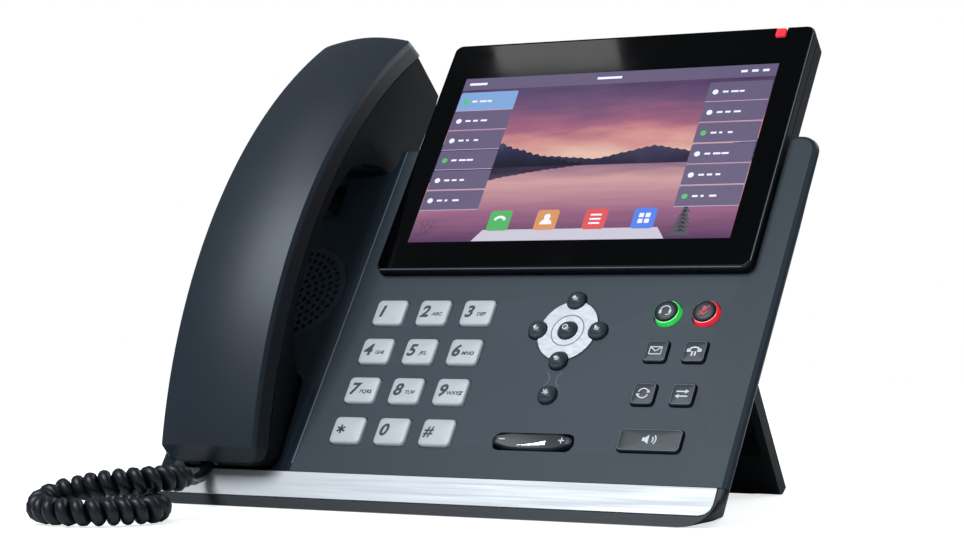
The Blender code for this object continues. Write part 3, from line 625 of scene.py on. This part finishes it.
def make_caps():
    """Every key that is a rounded block."""
    names = ["dial_key_" + label for label in DIAL_LETTERS]
    jobs = [(name, DIAL_KEY, 2.2, 1.7, "dial_key", 0.9) for name in names]
    for name in ("message_key", "hold_key", "redial_key", "transfer_key"):
        jobs.append((name, FUNCTION_KEY, 1.6, 1.6, "dark_key", 0.6))
    jobs.append(("speaker_key", SPEAKER_KEY, 2.0, 1.6, "dark_key", 0.6))
    for name, size, radius, height, look, soft in jobs:
        spot = spot_of(name)
        shape = bmesh.new()
        add_cap(shape, size, radius, -3.0, height, spot, soft)
        flange = rounded(size[0] / 2 + 0.7, size[1] / 2 + 0.7, radius + 0.7, spot)
        add_prism(shape, flange, -4.0, -3.05)
        piece(name + "_cap", shape, LOOKS[look], name, smooth=40, replaces=(name,))
        if look == "dark_key":
            # A paler stroke round the top of each dark key's rim: a painted highlight.
            rim = bmesh.new()
            outline = rounded(size[0] / 2 - 0.55, size[1] / 2 - 0.55, radius - 0.4, spot)
            add_stroke(rim, outline, 0.22, height - 0.5, height - 0.23, closed=True)
            piece(name + "_rim", rim, LOOKS["key_edge_highlight"], name)


def make_balls():
    """The four arrow keys, the OK key and the cancel key: small glossy domes."""
    for name in (*ARROW_KEYS, "ok_key", "cancel_key"):
        profile = [(5.0, -4.0), (5.0, -3.1), (4.05, -3.1), (4.1, 0.5)]
        profile += arc((0.0, 0.7), 4.1, 0, 80, 8, 2.6 / 4.1)
        shape = turned(profile, 40, spot_of(name))
        piece(name + "_dome", shape, LOOKS["ball"], name, smooth=50, replaces=(name,))


def make_lit_keys():
    """The headset and mute keys: a dark cap inside a translucent skirt, with a painted highlight (a glowing
    copy of its colour) on its lower right and painted shade (a dim copy) on the rest.
    """
    for name, look in (("headset", "green_light"), ("mute", "red_light")):
        spot = spot_of(name + "_key")
        cap = [(5.7, -4.0), (5.7, -3.1), (4.95, -3.1), (4.95, 2.1), (4.8, 2.6)]
        cap += [(4.35, 2.88), (3.0, 2.96), (1.0, 3.0)]
        piece(name + "_cap", turned(cap, 48, spot), LOOKS["dark_key"], name + "_key",
              smooth=40, replaces=(name + "_key",))
        skirt = [(5.95, -2.0), (5.95, 0.2), (5.8, 1.1), (5.4, 2.0), (5.05, 2.04), (5.05, -2.0)]
        shape = bmesh.new()
        add_loft(shape, [level(circle(r, 48, spot), h) for r, h in skirt], closed=True)
        made = piece(name + "_skirt", shape, LOOKS[look], "root", smooth=50,
                     replaces=(name + "_light",))
        # The upper left of the skirt takes the dim copy: painted shade; the lower right keeps the glowing
        # copy: painted highlight.
        made.data.materials.append(LOOKS[look + "_painted_shade"])
        for face in made.data.polygons:
            turn = (face.index % 48) / 48 * 360
            if 70 < turn < 225:
                face.material_index = 1


def make_rocker():
    """The volume bar: a dished top, a bright crescent in the middle, minus and plus marks."""
    x0, v0 = spot_of("volume_rocker")
    half, tall = ROCKER[0] / 2, ROCKER[1] / 2
    rings = []
    for k in range(-24, 25):
        share = k / 24
        end = tall - 2.4 * max(0.0, abs(share) - 0.5) ** 1.4 * 2.4
        if abs(share) > 0.86:
            end = min(end, (tall - 1.1) * math.sqrt(max(0.04, 1 - ((abs(share) - 0.86) / 0.16) ** 2)))
        top = 0.75 + 1.35 * share**2 - 0.7 * max(0.0, abs(share) - 0.9) / 0.1
        x = x0 + half * share
        rim = [(end - 0.9 * (1 - math.cos(a)), top - 0.9 * (1 - math.sin(a))) for a in ROCKER_TURN]
        back = [(x, v0 - across, n) for across, n in rim]
        front = [(x, v0 + across, n) for across, n in rim[::-1]]
        rings.append([(x, v0 + end, -3.5), (x, v0 - end, -3.5), *back, *front])
    shape = bmesh.new()
    add_loft(shape, rings)
    piece("volume_bar", shape, LOOKS["dark_key"], "volume_rocker", smooth=50,
          replaces=("volume_rocker",))

    mark = bmesh.new()
    low_edge = [(x0 - 6.4 + 12.4 * k / 14, v0 - 2.1 + 0.5 * (k / 14) ** 2) for k in range(15)]
    high_edge = [(x, v + 0.15 + 1.7 * ((x - x0 + 6.4) / 12.4) ** 1.5) for x, v in low_edge]
    add_prism(mark, low_edge + high_edge[::-1], 0.6, 0.98)
    piece("volume_crescent", mark, LOOKS["chrome"], "volume_rocker")
    signs = bmesh.new()
    for side, bars in ((-1, ((1, 0),)), (1, ((1, 0), (0, 1)))):
        spot = (x0 + side * 13.4, v0 + 0.2)
        for dx, dy in bars:
            add_bar(signs, spot, (1.3 * dx, 1.3 * dy), 0.5, 1.0, 1.72)
    piece("volume_signs", signs, LOOKS["pale_ink"], "volume_rocker")


def add_text(shape, text, size, spot, low, high, slant=0.0, bold=0.0):
    """Adds flat lettering, centred on the spot."""
    curve = bpy.data.curves.new("letters", "FONT")
    curve.body = text
    curve.size = size
    curve.shear = slant
    curve.offset = bold
    curve.extrude = (high - low) / 2
    curve.resolution_u = 4
    curve.align_x = "CENTER"
    curve.align_y = "CENTER"
    holder = new_object("letters", curve)
    bpy.context.view_layer.update()
    flat = bpy.data.meshes.new_from_object(holder.evaluated_get(bpy.context.evaluated_depsgraph_get()))
    flat.transform(Matrix.Translation((spot[0], spot[1], (low + high) / 2)))
    shape.from_mesh(flat)
    bpy.data.objects.remove(holder)
    bpy.data.curves.remove(curve)
    bpy.data.meshes.remove(flat)


def make_dial_print():
    for label, letters in DIAL_LETTERS.items():
        name = "dial_key_" + label
        x, v = spot_of(name)
        shape = bmesh.new()
        if label == "star":
            for k in range(3):
                a = math.pi * k / 3 + math.pi / 6
                add_bar(shape, (x - 3.0, v), (2.1 * math.cos(a), 2.1 * math.sin(a)), 0.85, *DIAL_PRINT)
        elif label == "hash":
            add_text(shape, "#", 7.0, (x - 3.8, v), *DIAL_PRINT, 0.12, 0.12)
        else:
            add_text(shape, label, 7.8, (x - 3.9, v), *DIAL_PRINT, 0.2, 0.24)
        if letters:
            add_text(shape, letters, 2.4, (x + 2.1, v - 1.1), *DIAL_PRINT, 0.2, 0.06)
        piece(name + "_print", shape, LOOKS["ink"], name)


# ---------------------------------------------------------------- icons


def drawn(lines=(), solids=(), width=0.5):
    """An icon in its own small plane: (lines, solids) as a list of jobs."""
    return {"lines": lines, "solids": solids, "width": width}


def icon_drawings():
    handset = [(-2.4, 0.4), (-1.6, 1.3), (0.0, 1.7), (1.6, 1.3), (2.4, 0.4)]
    return {
        "message_key": drawn(
            (((-2.6, -1.7), (2.6, -1.7), (2.6, 1.7), (-2.6, 1.7), (-2.6, -1.7)),
             ((-2.6, 1.7), (0.0, -0.3), (2.6, 1.7))),
        ),
        "hold_key": drawn(
            (handset, ((-0.7, -2.4), (-0.7, -0.3)), ((0.7, -2.4), (0.7, -0.3))),
            (rounded(0.9, 0.75, 0.3, (-2.3, 0.2), 2), rounded(0.9, 0.75, 0.3, (2.3, 0.2), 2)),
            0.7,
        ),
        "redial_key": drawn(
            (arc((0, 0), 2.2, 20, 165), arc((0, 0), 2.2, 200, 345)),
            (((1.3, 0.3), (3.1, 0.3), (2.2, 1.7)), ((-1.3, -0.3), (-3.1, -0.3), (-2.2, -1.7))),
        ),
        "transfer_key": drawn(
            (((-2.6, 1.1), (1.4, 1.1)), ((2.6, -1.1), (-1.4, -1.1))),
            (((1.2, 2.1), (2.9, 1.1), (1.2, 0.1)), ((-1.2, -2.1), (-2.9, -1.1), (-1.2, -0.1))),
            0.6,
        ),
        "speaker_key": drawn(
            (arc((0.0, 0), 1.7, -42, 42, 6), arc((0.0, 0), 2.9, -42, 42, 8)),
            (((-3.0, -0.8), (-1.9, -0.8), (-0.3, -2.1), (-0.3, 2.1), (-1.9, 0.8), (-3.0, 0.8)),),
        ),
        "headset_key": drawn(
            (arc((0, -0.1), 2.2, 0, 180), ((2.2, -0.8), (1.9, -2.0), (0.4, -2.2))),
            (rounded(0.55, 0.9, 0.3, (-2.15, -0.7), 2), rounded(0.55, 0.9, 0.3, (2.15, -0.7), 2)),
            0.45,
        ),
        "mute_key": drawn(
            (arc((0, 0.1), 1.7, 190, 350, 8), ((0, -1.6), (0, -2.4)), ((-2.2, -2.2), (2.2, 2.2))),
            (rounded(0.8, 1.3, 0.75, (0, 0.8), 3),),
            0.45,
        ),
    }


def add_drawing(shape, drawing, spot, low, high):
    for line in drawing["lines"]:
        points = [(spot[0] + x, spot[1] + y) for x, y in line]
        add_stroke(shape, points, drawing["width"], low, high)
    for solid in drawing["solids"]:
        add_prism(shape, [(spot[0] + x, spot[1] + y) for x, y in solid], low, high)


def make_icons():
    for name, drawing in icon_drawings().items():
        low, high = (2.8, 3.06) if name in ("headset_key", "mute_key") else (1.3, 1.64)
        shape = bmesh.new()
        add_drawing(shape, drawing, spot_of(name), low, high)
        look = "red_ink" if name == "mute_key" else "pale_ink"
        piece(name + "_icon", shape, LOOKS[look], name)
    x, v = spot_of("ok_key")
    shape = bmesh.new()
    add_stroke(shape, circle(1.1, 24, (x, v)), 0.4, *DOME_PRINT, closed=True)
    piece("ok_key_ring", shape, LOOKS["pale_ink"], "ok_key")
    cx, cv = spot_of("cancel_key")
    shape = bmesh.new()
    for side in (-1, 1):
        add_bar(shape, (cx, cv), (0.9, 0.9 * side), 0.4, *DOME_PRINT)
    piece("cancel_key_cross", shape, LOOKS["pale_ink"], "cancel_key")
    for name in ARROW_KEYS:
        ax, av = spot_of(name)
        out = Vector((ax - x, av - v)).normalized()
        side = Vector((-out.y, out.x))
        centre = Vector((ax, av))
        tips = [centre + out * 0.9, centre - out * 0.5 + side * 1.1, centre - out * 0.5 - side * 1.1]
        shape = bmesh.new()
        add_prism(shape, [(t.x, t.y) for t in tips], *DOME_PRINT)
        piece(name + "_arrow", shape, LOOKS["pale_ink"], name)


# ---------------------------------------------------------------- front panel


def make_panel_lines():
    """The raised line beside the cradle, the ring round OK and the bridge to the cancel key."""
    shape = bmesh.new()
    # The stroke is paler than the cover: a painted highlight along the ridge.
    add_stroke(shape, [(RIDGE_X, 22.0), (RIDGE_X, 186.0)], 0.7, -0.3, 0.35)
    piece("cradle_ridge", shape, LOOKS["pale_line"], "root")

    # A pale stroke along the bezel's lower and right edges: a painted highlight.
    low, high = extent("display_bezel")
    edge = [(low.x + 3.0, low.y + 0.45), (high.x - 3.6, low.y + 0.45), (high.x - 0.45, low.y + 3.6),
            (high.x - 0.45, high.y - 4.0)]
    shape = bmesh.new()
    add_stroke(shape, edge, 0.3, 3.4, 3.98)
    piece("bezel_edge_line", shape, LOOKS["pale_line"], "root")

    x, v = spot_of("ok_key")
    # A darker ring on the silver plate round the OK key: painted shade in its groove.
    shape = bmesh.new()
    add_stroke(shape, circle(7.2, 72, (x, v), 1.04), 0.55, 0.3, 0.63, closed=True)
    piece("plate_groove", shape, LOOKS["plate_shade"], "root")
    top, low = spot_of("nav_down_key")[1] - 5.2, spot_of("cancel_key")[1] + 4.2
    shape = bmesh.new()
    for side in (-1, 1):
        line = []
        for k in range(13):
            share = k / 12
            waist = 1.6 + 1.9 * (2 * share - 1) ** 2
            line.append((x + side * waist, top + (low - top) * share))
        add_stroke(shape, line, 0.3, -0.1, 0.08)
    piece("key_bridge", shape, LOOKS["pale_line"], "root")


def perforated(outline, spots, radius, low, high):
    """A plate with a round hole at each spot."""
    points, edges = [], []
    for loop in (outline, *(circle(radius, 14, spot) for spot in spots)):
        first = len(points)
        points += [Vector(p) for p in loop]
        edges += [(first + k, first + (k + 1) % len(loop)) for k in range(len(loop))]
    flat, _, faces, *_ = delaunay_2d_cdt(points, edges, [], 1, 1e-4)
    shape = bmesh.new()
    verts = [shape.verts.new((p.x, p.y, low)) for p in flat]
    made = []
    for face in faces:
        centre = sum((flat[i] for i in face), Vector((0, 0))) / len(face)
        if all((centre - Vector(spot)).length > radius for spot in spots):
            made.append(shape.faces.new([verts[i] for i in face]))
    loose = [v for v in shape.verts if not v.link_faces]
    bmesh.ops.delete(shape, geom=loose, context="VERTS")
    grown = bmesh.ops.extrude_face_region(shape, geom=made)["geom"]
    top = [g for g in grown if isinstance(g, bmesh.types.BMVert)]
    bmesh.ops.translate(shape, verts=top, vec=(0, 0, high - low))
    return shape


def make_grille():
    x, v = spot_of("speaker_grille")
    spots = []
    for ring in range(7):
        radius = 3.5 * ring
        count = max(1, round(2 * math.pi * radius / 3.6))
        for k in range(count):
            a = 2 * math.pi * (k + 0.5 * (ring % 2)) / count
            spots.append((x + radius * math.cos(a), v + radius * math.sin(a)))
    shape = perforated(circle(25.4, 72, (x, v)), spots, 1.2, -4.2, -3.02)
    piece("grille_plate", shape, LOOKS["shell"], "root", smooth=0,
          replaces=("speaker_grille",))
    # A near-black disc behind the plate that darkens the holes: painted shade.
    shade_sheet = bmesh.new()
    add_prism(shade_sheet, circle(24.8, 64, (x, v)), -4.5, -4.25)
    piece("grille_shade_sheet", shade_sheet, LOOKS["groove"], "root")


def make_back_details():
    """Screw heads in the back, and the gold contacts inside the sockets."""
    for k, (x, v) in enumerate(((-104, 70), (104, 70), (-60, 160), (60, 160))):
        head = turned([(3.0, -42.0), (3.0, -42.5), (2.5, -42.9), (0.6, -43.1)][::-1], 32, (x, v))
        piece(f"screw_{k + 1}", head, LOOKS["steel"], "root", smooth=40)
        # The cross recess is near-black bars on the head: painted shade.
        shape = bmesh.new()
        for dx, dy in ((1, 0), (0, 1)):
            add_bar(shape, (x, v), (1.6 * dx, 1.6 * dy), 0.6, -43.13, -42.7)
        piece(f"screw_{k + 1}_cross", shape, LOOKS["groove"], "root")
    contacts = bmesh.new()
    for x0, count in ((-20.0, 8), (-4.0, 8), (-90.5, 4)):
        for k in range(count):
            x = x0 + (k - (count - 1) / 2) * 1.02
            add_prism(contacts, rounded(0.2, 0.25, 0.1, (x, 20.6), 1), 52.0, 62.0)
    across = FLOOR @ Matrix(((1, 0, 0, 0), (0, 0, 1, 0), (0, 1, 0, 0), (0, 0, 0, 1)))
    piece("socket_contacts", contacts, LOOKS["gold"], "root", across, 0)


# ---------------------------------------------------------------- the picture on the screen


def up_share(tree, where, low, high):
    """0 at height low on the face and 1 at height high."""
    up = (0.0, math.cos(TILT), math.sin(TILT))
    along = node(tree, "ShaderNodeVectorMath", {0: where, 1: up}, operation="DOT_PRODUCT").outputs["Value"]
    shift = CENTRE_Y * math.cos(TILT)
    return node(tree, "ShaderNodeMapRange", {
        "Value": along, "From Min": (low - shift) * MM, "From Max": (high - shift) * MM}).outputs[0]


def pictured(name, stops, low, high, streak=0.12, strength=0.85, stretch=(1.0, 4.0, 4.0)):
    """A lit part of the picture: colours from low to high, broken up by long soft streaks."""
    made, tree, shader, where = start_material(name)
    share = up_share(tree, where, low, high)
    cloud = noise(tree, where, 34.0, 4.0, stretch)
    shift = node(tree, "ShaderNodeMath", {0: cloud, 1: 0.5}, operation="SUBTRACT").outputs[0]
    streaks = {0: shift, 1: streak * 2, 2: share}
    scaled = node(tree, "ShaderNodeMath", streaks, operation="MULTIPLY_ADD").outputs[0]
    ramp = node(tree, "ShaderNodeValToRGB", {"Fac": scaled})
    while len(ramp.color_ramp.elements) < len(stops):
        ramp.color_ramp.elements.new(0.5)
    for element, (place, value) in zip(ramp.color_ramp.elements, stops):
        element.position = place
        element.color = colour(value)
    set_inputs(tree, shader, {
        "Base Color": (0.01, 0.01, 0.012, 1.0),
        "Roughness": 0.08,
        "Specular IOR Level": 0.15,
        "Emission Color": ramp.outputs[0],
        "Emission Strength": strength,
    })
    return made


def screen_piece(name, shape, look):
    return piece("screen_" + name, shape, look, "root")


def window(left, right, low, high):
    return ((left, low), (right, low), (right, high), (left, high))


def add_layer(shape, outline, low, thick=0.02):
    """A flat layer of the picture, at a height above the glass."""
    add_prism(shape, outline, GLASS_FRONT + low, GLASS_FRONT + low + thick)


def screen_layer(name, outline, low, look, thick=0.02):
    shape = bmesh.new()
    add_layer(shape, outline, low, thick)
    screen_piece(name, shape, look)


def ridge_line(left, right, points, height):
    """A mountain outline through a few points, made jagged by a sum of small waves."""
    made = []
    count = int((right - left) / RIDGE_STEP)
    for k in range(count + 1):
        x = left + (right - left) * k / count
        for (xa, va), (xb, vb) in zip(points, points[1:]):
            if xa <= x <= xb:
                v = va + (vb - va) * (x - xa) / (xb - xa)
        wave = math.sin(x * 1.7) + 0.6 * math.sin(x * 3.9 + 1) + 0.35 * math.sin(x * 8.3 + 2)
        made.append((x, v + height * wave))
    return made


def add_branch(shape, spot, angle, length, width, depth, low, high):
    """A twig and, from its end, smaller ones."""
    tip = (spot[0] + length * math.cos(angle), spot[1] + length * math.sin(angle))
    add_stroke(shape, [spot, tip], width, low, high)
    if depth:
        for turn, share in ((0.45, 0.72), (-0.5, 0.66)):
            add_branch(shape, tip, angle + turn, length * share, width * 0.7, depth - 1, low, high)


def add_tree(shape, x, bottom):
    """A dark fir: narrowing tiers of ragged branches."""
    tiers = 8
    for k in range(tiers):
        half = 5.4 * (1 - k / tiers) + 0.7
        low = bottom + 1.0 + 2.0 * k
        lean = 0.5 * math.sin(2.3 * k)
        left, right = (x - half, low), (x + half + lean, low + 0.3)
        add_layer(shape, (left, (x - half * 0.3, low + 0.7), right, (x + lean * 0.3, low + 4.2)), 0.08)


def make_screen():
    left, right, bottom, top = SCREEN
    sky = pictured("sky_picture", (
        (0.0, (250, 214, 196)), (0.24, (226, 158, 154)), (0.42, (176, 108, 134)),
        (0.66, (116, 84, 124)), (1.0, (56, 46, 88))), SHORE, top, 0.2)
    screen_layer("sky", window(left, right, SHORE, top), 0.01, sky)
    lake = pictured("lake_picture", (
        (0.0, (96, 62, 104)), (0.4, (168, 112, 144)), (0.78, (222, 172, 172)),
        (1.0, (150, 112, 138))), bottom, SHORE, 0.1, stretch=(1.0, 9.0, 9.0))
    screen_layer("lake", window(left, right, bottom, SHORE), 0.01, lake)

    far = (left, 181.0), (12.0, 178.0), (34.0, 175.8), (60.0, 182.3), (78.0, 178.6), (right, 184.0)
    peak = (left, 187.0), (-30.6, 194.3), (-12.0, 184.5), (8.0, 178.0), (PEAK_END, SHORE)
    far_stops = (0.0, (46, 40, 66)), (0.45, (74, 70, 104)), (1.0, (168, 142, 164))
    peak_stops = (0.0, (26, 24, 44)), (0.5, (52, 52, 88)), (1.0, (150, 140, 178))
    for name, points, end, height, stops, rise in (
        ("far_hills", far, right, 0.25, far_stops, 0.04),
        ("left_peak", peak, PEAK_END, 0.45, peak_stops, 0.06),
    ):
        ridge = [(x, min(v, top)) for x, v in ridge_line(left, end, points, height)]
        look = pictured(name, stops, SHORE, 194.0, 0.3, 0.8, (2.0, 2.0, 2.0))
        screen_layer(name, [(left, SHORE - 0.4), *ridge, (end, SHORE - 0.4)][::-1], rise, look)
    mirror = [(x, SHORE - (v - SHORE) * 0.55) for x, v in ridge_line(left, PEAK_END, peak, 0.3)]
    stops = (0.0, (150, 108, 140)), (0.6, (104, 78, 112)), (1.0, (44, 38, 62))
    look = pictured("hill_reflection", stops, bottom, SHORE, 0.3, 0.8, (1.0, 9.0, 9.0))
    screen_layer("reflection", [(left, SHORE - 0.3), *mirror, (PEAK_END, SHORE - 0.3)], 0.04, look, 0.01)

    shape = bmesh.new()
    add_tree(shape, 83.5, bottom)
    screen_piece("tree", shape, LOOKS["screen_dark"])
    shape = bmesh.new()
    for x, angle in ((left + 1.0, 0.9), (left + 7.0, 1.5)):
        add_branch(shape, (x, bottom + 0.3), angle, 4.6, 0.35, 4, GLASS_FRONT + 0.08, GLASS_FRONT + 0.1)
    screen_piece("twigs", shape, LOOKS["screen_dark"])
    make_tiles(left, right, top)
    make_dock(bottom)


def make_tiles(left, right, top):
    """Two columns of line keys drawn on the screen: dark tiles with a mark and a bar."""
    tiles, bars, marks, lines = (bmesh.new() for _ in range(4))
    heights = (GLASS_FRONT + 0.13, GLASS_FRONT + 0.15)
    for column, (low_x, high_x, first) in enumerate(((-45.0, -15.8, 216.0), (77.7, 106.8, 215.2))):
        centre = (low_x + high_x) / 2
        half = (high_x - low_x) / 2
        for row in range(6):
            v = first - 5.3 - 11.1 * row
            outline = rounded(half, 5.3, 0.9, (centre, v), 3)
            if column == 0 and row == 0:
                screen_layer("active_tile", outline, 0.1, LOOKS["tile_glow"])
            else:
                add_layer(tiles, outline, 0.1)
            add_bar(lines, (centre, v - 5.2), (half, 0), 0.3, GLASS_FRONT + 0.125, GLASS_FRONT + 0.14)
            start = low_x + 3.6
            shape = marks if (row + column) % 3 == 0 else bars
            add_prism(shape, circle(1.35, 20, (start, v)), *heights)
            for k, length in enumerate((2.6, 3.4 - row % 3, 2.2 + row % 2)):
                first_x = start + 3.4 + 3.9 * k
                add_stroke(bars, [(first_x, v), (first_x + length, v)], 1.0, *heights)
    screen_piece("tiles", tiles, LOOKS["tile"])
    screen_piece("tile_lines", lines, LOOKS["tile_line"])
    screen_piece("tile_bars", bars, LOOKS["screen_white"])
    screen_piece("tile_marks", marks, LOOKS["screen_green"])

    screen_layer("status_bar", window(left, right, 217.4, top), 0.06, LOOKS["tile"])
    shape = bmesh.new()
    for x, length in ((-38.0, 9.0), (28.0, 12.0), (92.0, 3.0), (97.0, 3.0), (102.0, 3.0)):
        add_bar(shape, (x, 220.8), (length / 2, 0), 1.3, GLASS_FRONT + 0.09, GLASS_FRONT + 0.11)
    screen_piece("status_marks", shape, LOOKS["screen_white"])


def make_dock(bottom):
    """The bright tray at the foot of the screen with four coloured buttons."""
    tray = ((-13.9, bottom + 0.1), (77.4, bottom + 0.1), (73.1, 138.8), (-9.8, 138.8))
    screen_layer("tray", tray, 0.06, LOOKS["tray"])
    glyphs = bmesh.new()
    heights = (GLASS_FRONT + 0.14, GLASS_FRONT + 0.16)
    for k, (x, tint) in enumerate(((-3.0, "green"), (19.8, "amber"), (42.9, "red"), (65.7, "blue"))):
        outline = rounded(5.25, 5.3, 1.5, (x, 143.6))
        screen_layer(f"button_{k + 1}", outline, 0.1, LOOKS["app_" + tint], 0.03)
        if k == 0:
            add_stroke(glyphs, arc((x, 143.0), 2.6, 20, 160, 10), 1.3, *heights)
        elif k == 1:
            add_prism(glyphs, circle(1.5, 20, (x, 145.2)), *heights)
            add_prism(glyphs, arc((x, 141.2), 2.9, 0, 180, 14), *heights)
        elif k == 2:
            for step in range(3):
                add_bar(glyphs, (x, 145.8 - 2.2 * step), (2.6, 0), 0.9, *heights)
        else:
            for dx in (-1.5, 1.5):
                for dy in (-1.5, 1.5):
                    add_prism(glyphs, rounded(1.1, 1.1, 0.25, (x + dx, 143.6 + dy), 2), *heights)
    screen_piece("glyphs", glyphs, LOOKS["screen_white"])


# ---------------------------------------------------------------- camera, light and floor


FLOOR_LIFT = 0.72
COOL = (0.84, 0.93, 1.0)


def make_camera():
    data = bpy.data.cameras.new("camera")
    data.sensor_width = 36.0
    data.lens = 93.36
    camera = new_object("camera", data)
    camera.location = (0.51684, -0.94622, 0.08433)
    camera.rotation_euler = (math.radians(90.74), 0.0, math.radians(29.41))
    bpy.context.scene.camera = camera


def add_light(name, place, target, size, power, tint=(1.0, 1.0, 1.0)):
    data = bpy.data.lights.new(name, "AREA")
    data.shape = "RECTANGLE"
    data.size, data.size_y = size
    data.energy = power
    data.color = tint
    lamp = new_object(name, data)
    lamp.location = place
    aim = Vector(target) - Vector(place)
    lamp.rotation_euler = aim.to_track_quat("-Z", "Y").to_euler()


def make_stage():
    scene = bpy.context.scene
    scene.view_settings.view_transform = "Standard"
    world = bpy.data.worlds.new("studio")
    world.use_nodes = True
    tree = world.node_tree
    dim = tree.nodes["Background"]
    set_inputs(tree, dim, {"Color": (*COOL, 1.0), "Strength": 0.22})
    white = node(tree, "ShaderNodeBackground", {"Color": (1.0, 1.0, 1.0, 1.0), "Strength": 1.0})
    seen = node(tree, "ShaderNodeLightPath").outputs["Is Camera Ray"]
    mix = node(tree, "ShaderNodeMixShader", {0: seen, 1: dim.outputs[0], 2: white.outputs[0]})
    tree.links.new(mix.outputs[0], tree.nodes["World Output"].inputs["Surface"])
    scene.world = world

    shape = bmesh.new()
    add_loft(shape, [level(circle(1600, 64), 0.0)], caps=False)
    shape.faces.new(shape.verts)
    data = bpy.data.meshes.new("floor")
    shape.transform(Matrix.Scale(MM, 4))
    shape.to_mesh(data)
    shape.free()
    look, tree, shader, where = start_material("pale_floor")
    seen = node(tree, "ShaderNodeLightPath").outputs["Is Camera Ray"]
    lift = node(tree, "ShaderNodeMath", {0: seen, 1: FLOOR_LIFT}, operation="MULTIPLY").outputs[0]
    set_inputs(tree, shader, {
        "Base Color": mottled(tree, noise(tree, where, 3.0), (236, 237, 238), (240, 240, 241)),
        "Roughness": 0.9,
        "Specular IOR Level": 0.1,
        "Emission Color": (1.0, 1.0, 1.0, 1.0),
        "Emission Strength": lift,
    })
    data.materials.append(look)
    new_object("floor", data)

    add_light("main_box", (-0.35, -0.87, 1.2), (-0.05, 0.0, 0.1), (0.8, 0.62), 15, COOL)
    add_light("glass_box", (-0.57, -0.16, 1.25), (-0.57, -0.16, 0.0), (0.13, 0.16), 0.4)
    add_light("front_fill", (0.5, -1.6, 0.9), (0, 0, 0.1), (1.0, 0.6), 2.5, COOL)
    add_light("back", (0.3, 1.2, 1.1), (0, 0, 0.1), (1.2, 0.8), 9)


# ---------------------------------------------------------------- the cord


def evenly(points, step):
    """The same line with points one step apart."""
    made = [points[0]]
    left = step
    for a, b in zip(points, points[1:]):
        length = (b - a).length
        done = 0.0
        while length - done >= left:
            done += left
            made.append(a.lerp(b, done / length))
            left = step
        left -= length - done
    return made + [points[-1]]


def carried_frames(points):
    """A pair of cross directions at each point, turned as little as possible along the way."""
    tangents = []
    last = len(points) - 1
    for i in range(len(points)):
        tangents.append((points[min(i + 1, last)] - points[max(i - 1, 0)]).normalized())
    across = tangents[0].cross(Vector((0, 0, 1))).normalized()
    made = []
    for tangent in tangents:
        across = (across - tangent * across.dot(tangent)).normalized()
        made.append((across, tangent.cross(across)))
    return made


def smoothstep(t):
    t = min(1.0, max(0.0, t))
    return t * t * (3 - 2 * t)


def cord_line():
    """The wire's own middle line: straight tails, and a helix round the coil's route."""
    step = 0.5
    route = [Vector(p) for p in FRONT_TAIL + COIL_ROUTE + BACK_TAIL]
    fine = catmull(route, 24)
    first = fine[24 * len(FRONT_TAIL)]
    last = fine[24 * (len(FRONT_TAIL) + len(COIL_ROUTE) - 1)]
    line = evenly(fine, step)
    frames = carried_frames(line)
    start = min(range(len(line)), key=lambda i: (line[i] - first).length) * step
    end = min(range(len(line)), key=lambda i: (line[i] - last).length) * step
    made, along, phase = [], [], 0.0
    for i, point in enumerate(line):
        s = i * step
        grown = smoothstep((s - start) / COIL_GROWTH) * smoothstep((end - s) / COIL_GROWTH)
        if start <= s <= end:
            before, after = line[max(i - 12, 0)], line[min(i + 12, len(line) - 1)]
            bend = ((after - point).normalized() - (point - before).normalized()).length / 6.0
            # The turns open out where the coil starts and ends, so the wire doesn't fold into itself.
            opening = COIL_OPENING - (COIL_OPENING - 1) * grown
            pitch = COIL_PITCH * (1 + 0.5 * COIL_RADIUS * bend) * opening
            phase += 2 * math.pi * step / pitch
        across, over = frames[i]
        made.append(point + (across * math.cos(phase) + over * math.sin(phase)) * COIL_RADIUS * grown)
        along.append((s, WIRE + (COIL_WIRE - WIRE) * grown))
    return made, along


def make_cord():
    line, along = cord_line()
    rings = []
    for point, (across, over), (_, wire) in zip(line, carried_frames(line), along):
        ring = []
        for k in range(WIRE_SIDES):
            a = 2 * math.pi * k / WIRE_SIDES
            ring.append(point + (across * math.cos(a) + over * math.sin(a)) * wire / 2)
        rings.append(ring)
    shape = bmesh.new()
    add_loft(shape, rings)
    cord = piece("curly_cord", shape, LOOKS["cord"], None, FLOOR, 60, ("handset_cord",))
    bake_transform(cord)
    reach = 0.3 * along[-1][0]
    weights = []
    for s, _ in along:
        weights += [smoothstep(s / reach)] * WIRE_SIDES


def main():
    dressed = set()
    for look, names in NODE_LOOKS.items():
        for name in names:
            refine(name, LOOKS[look])
            dressed.add(name)
    for name in sorted(set(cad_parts) - dressed):
        refine(name, LOOKS["dark_key"])
    make_camera()
    make_stage()
    make_handset_shell()
    make_handset_details()
    make_caps()
    make_balls()
    make_lit_keys()
    make_rocker()
    make_dial_print()
    make_icons()
    make_panel_lines()
    make_grille()
    make_back_details()
    make_screen()
    make_cord()


main()
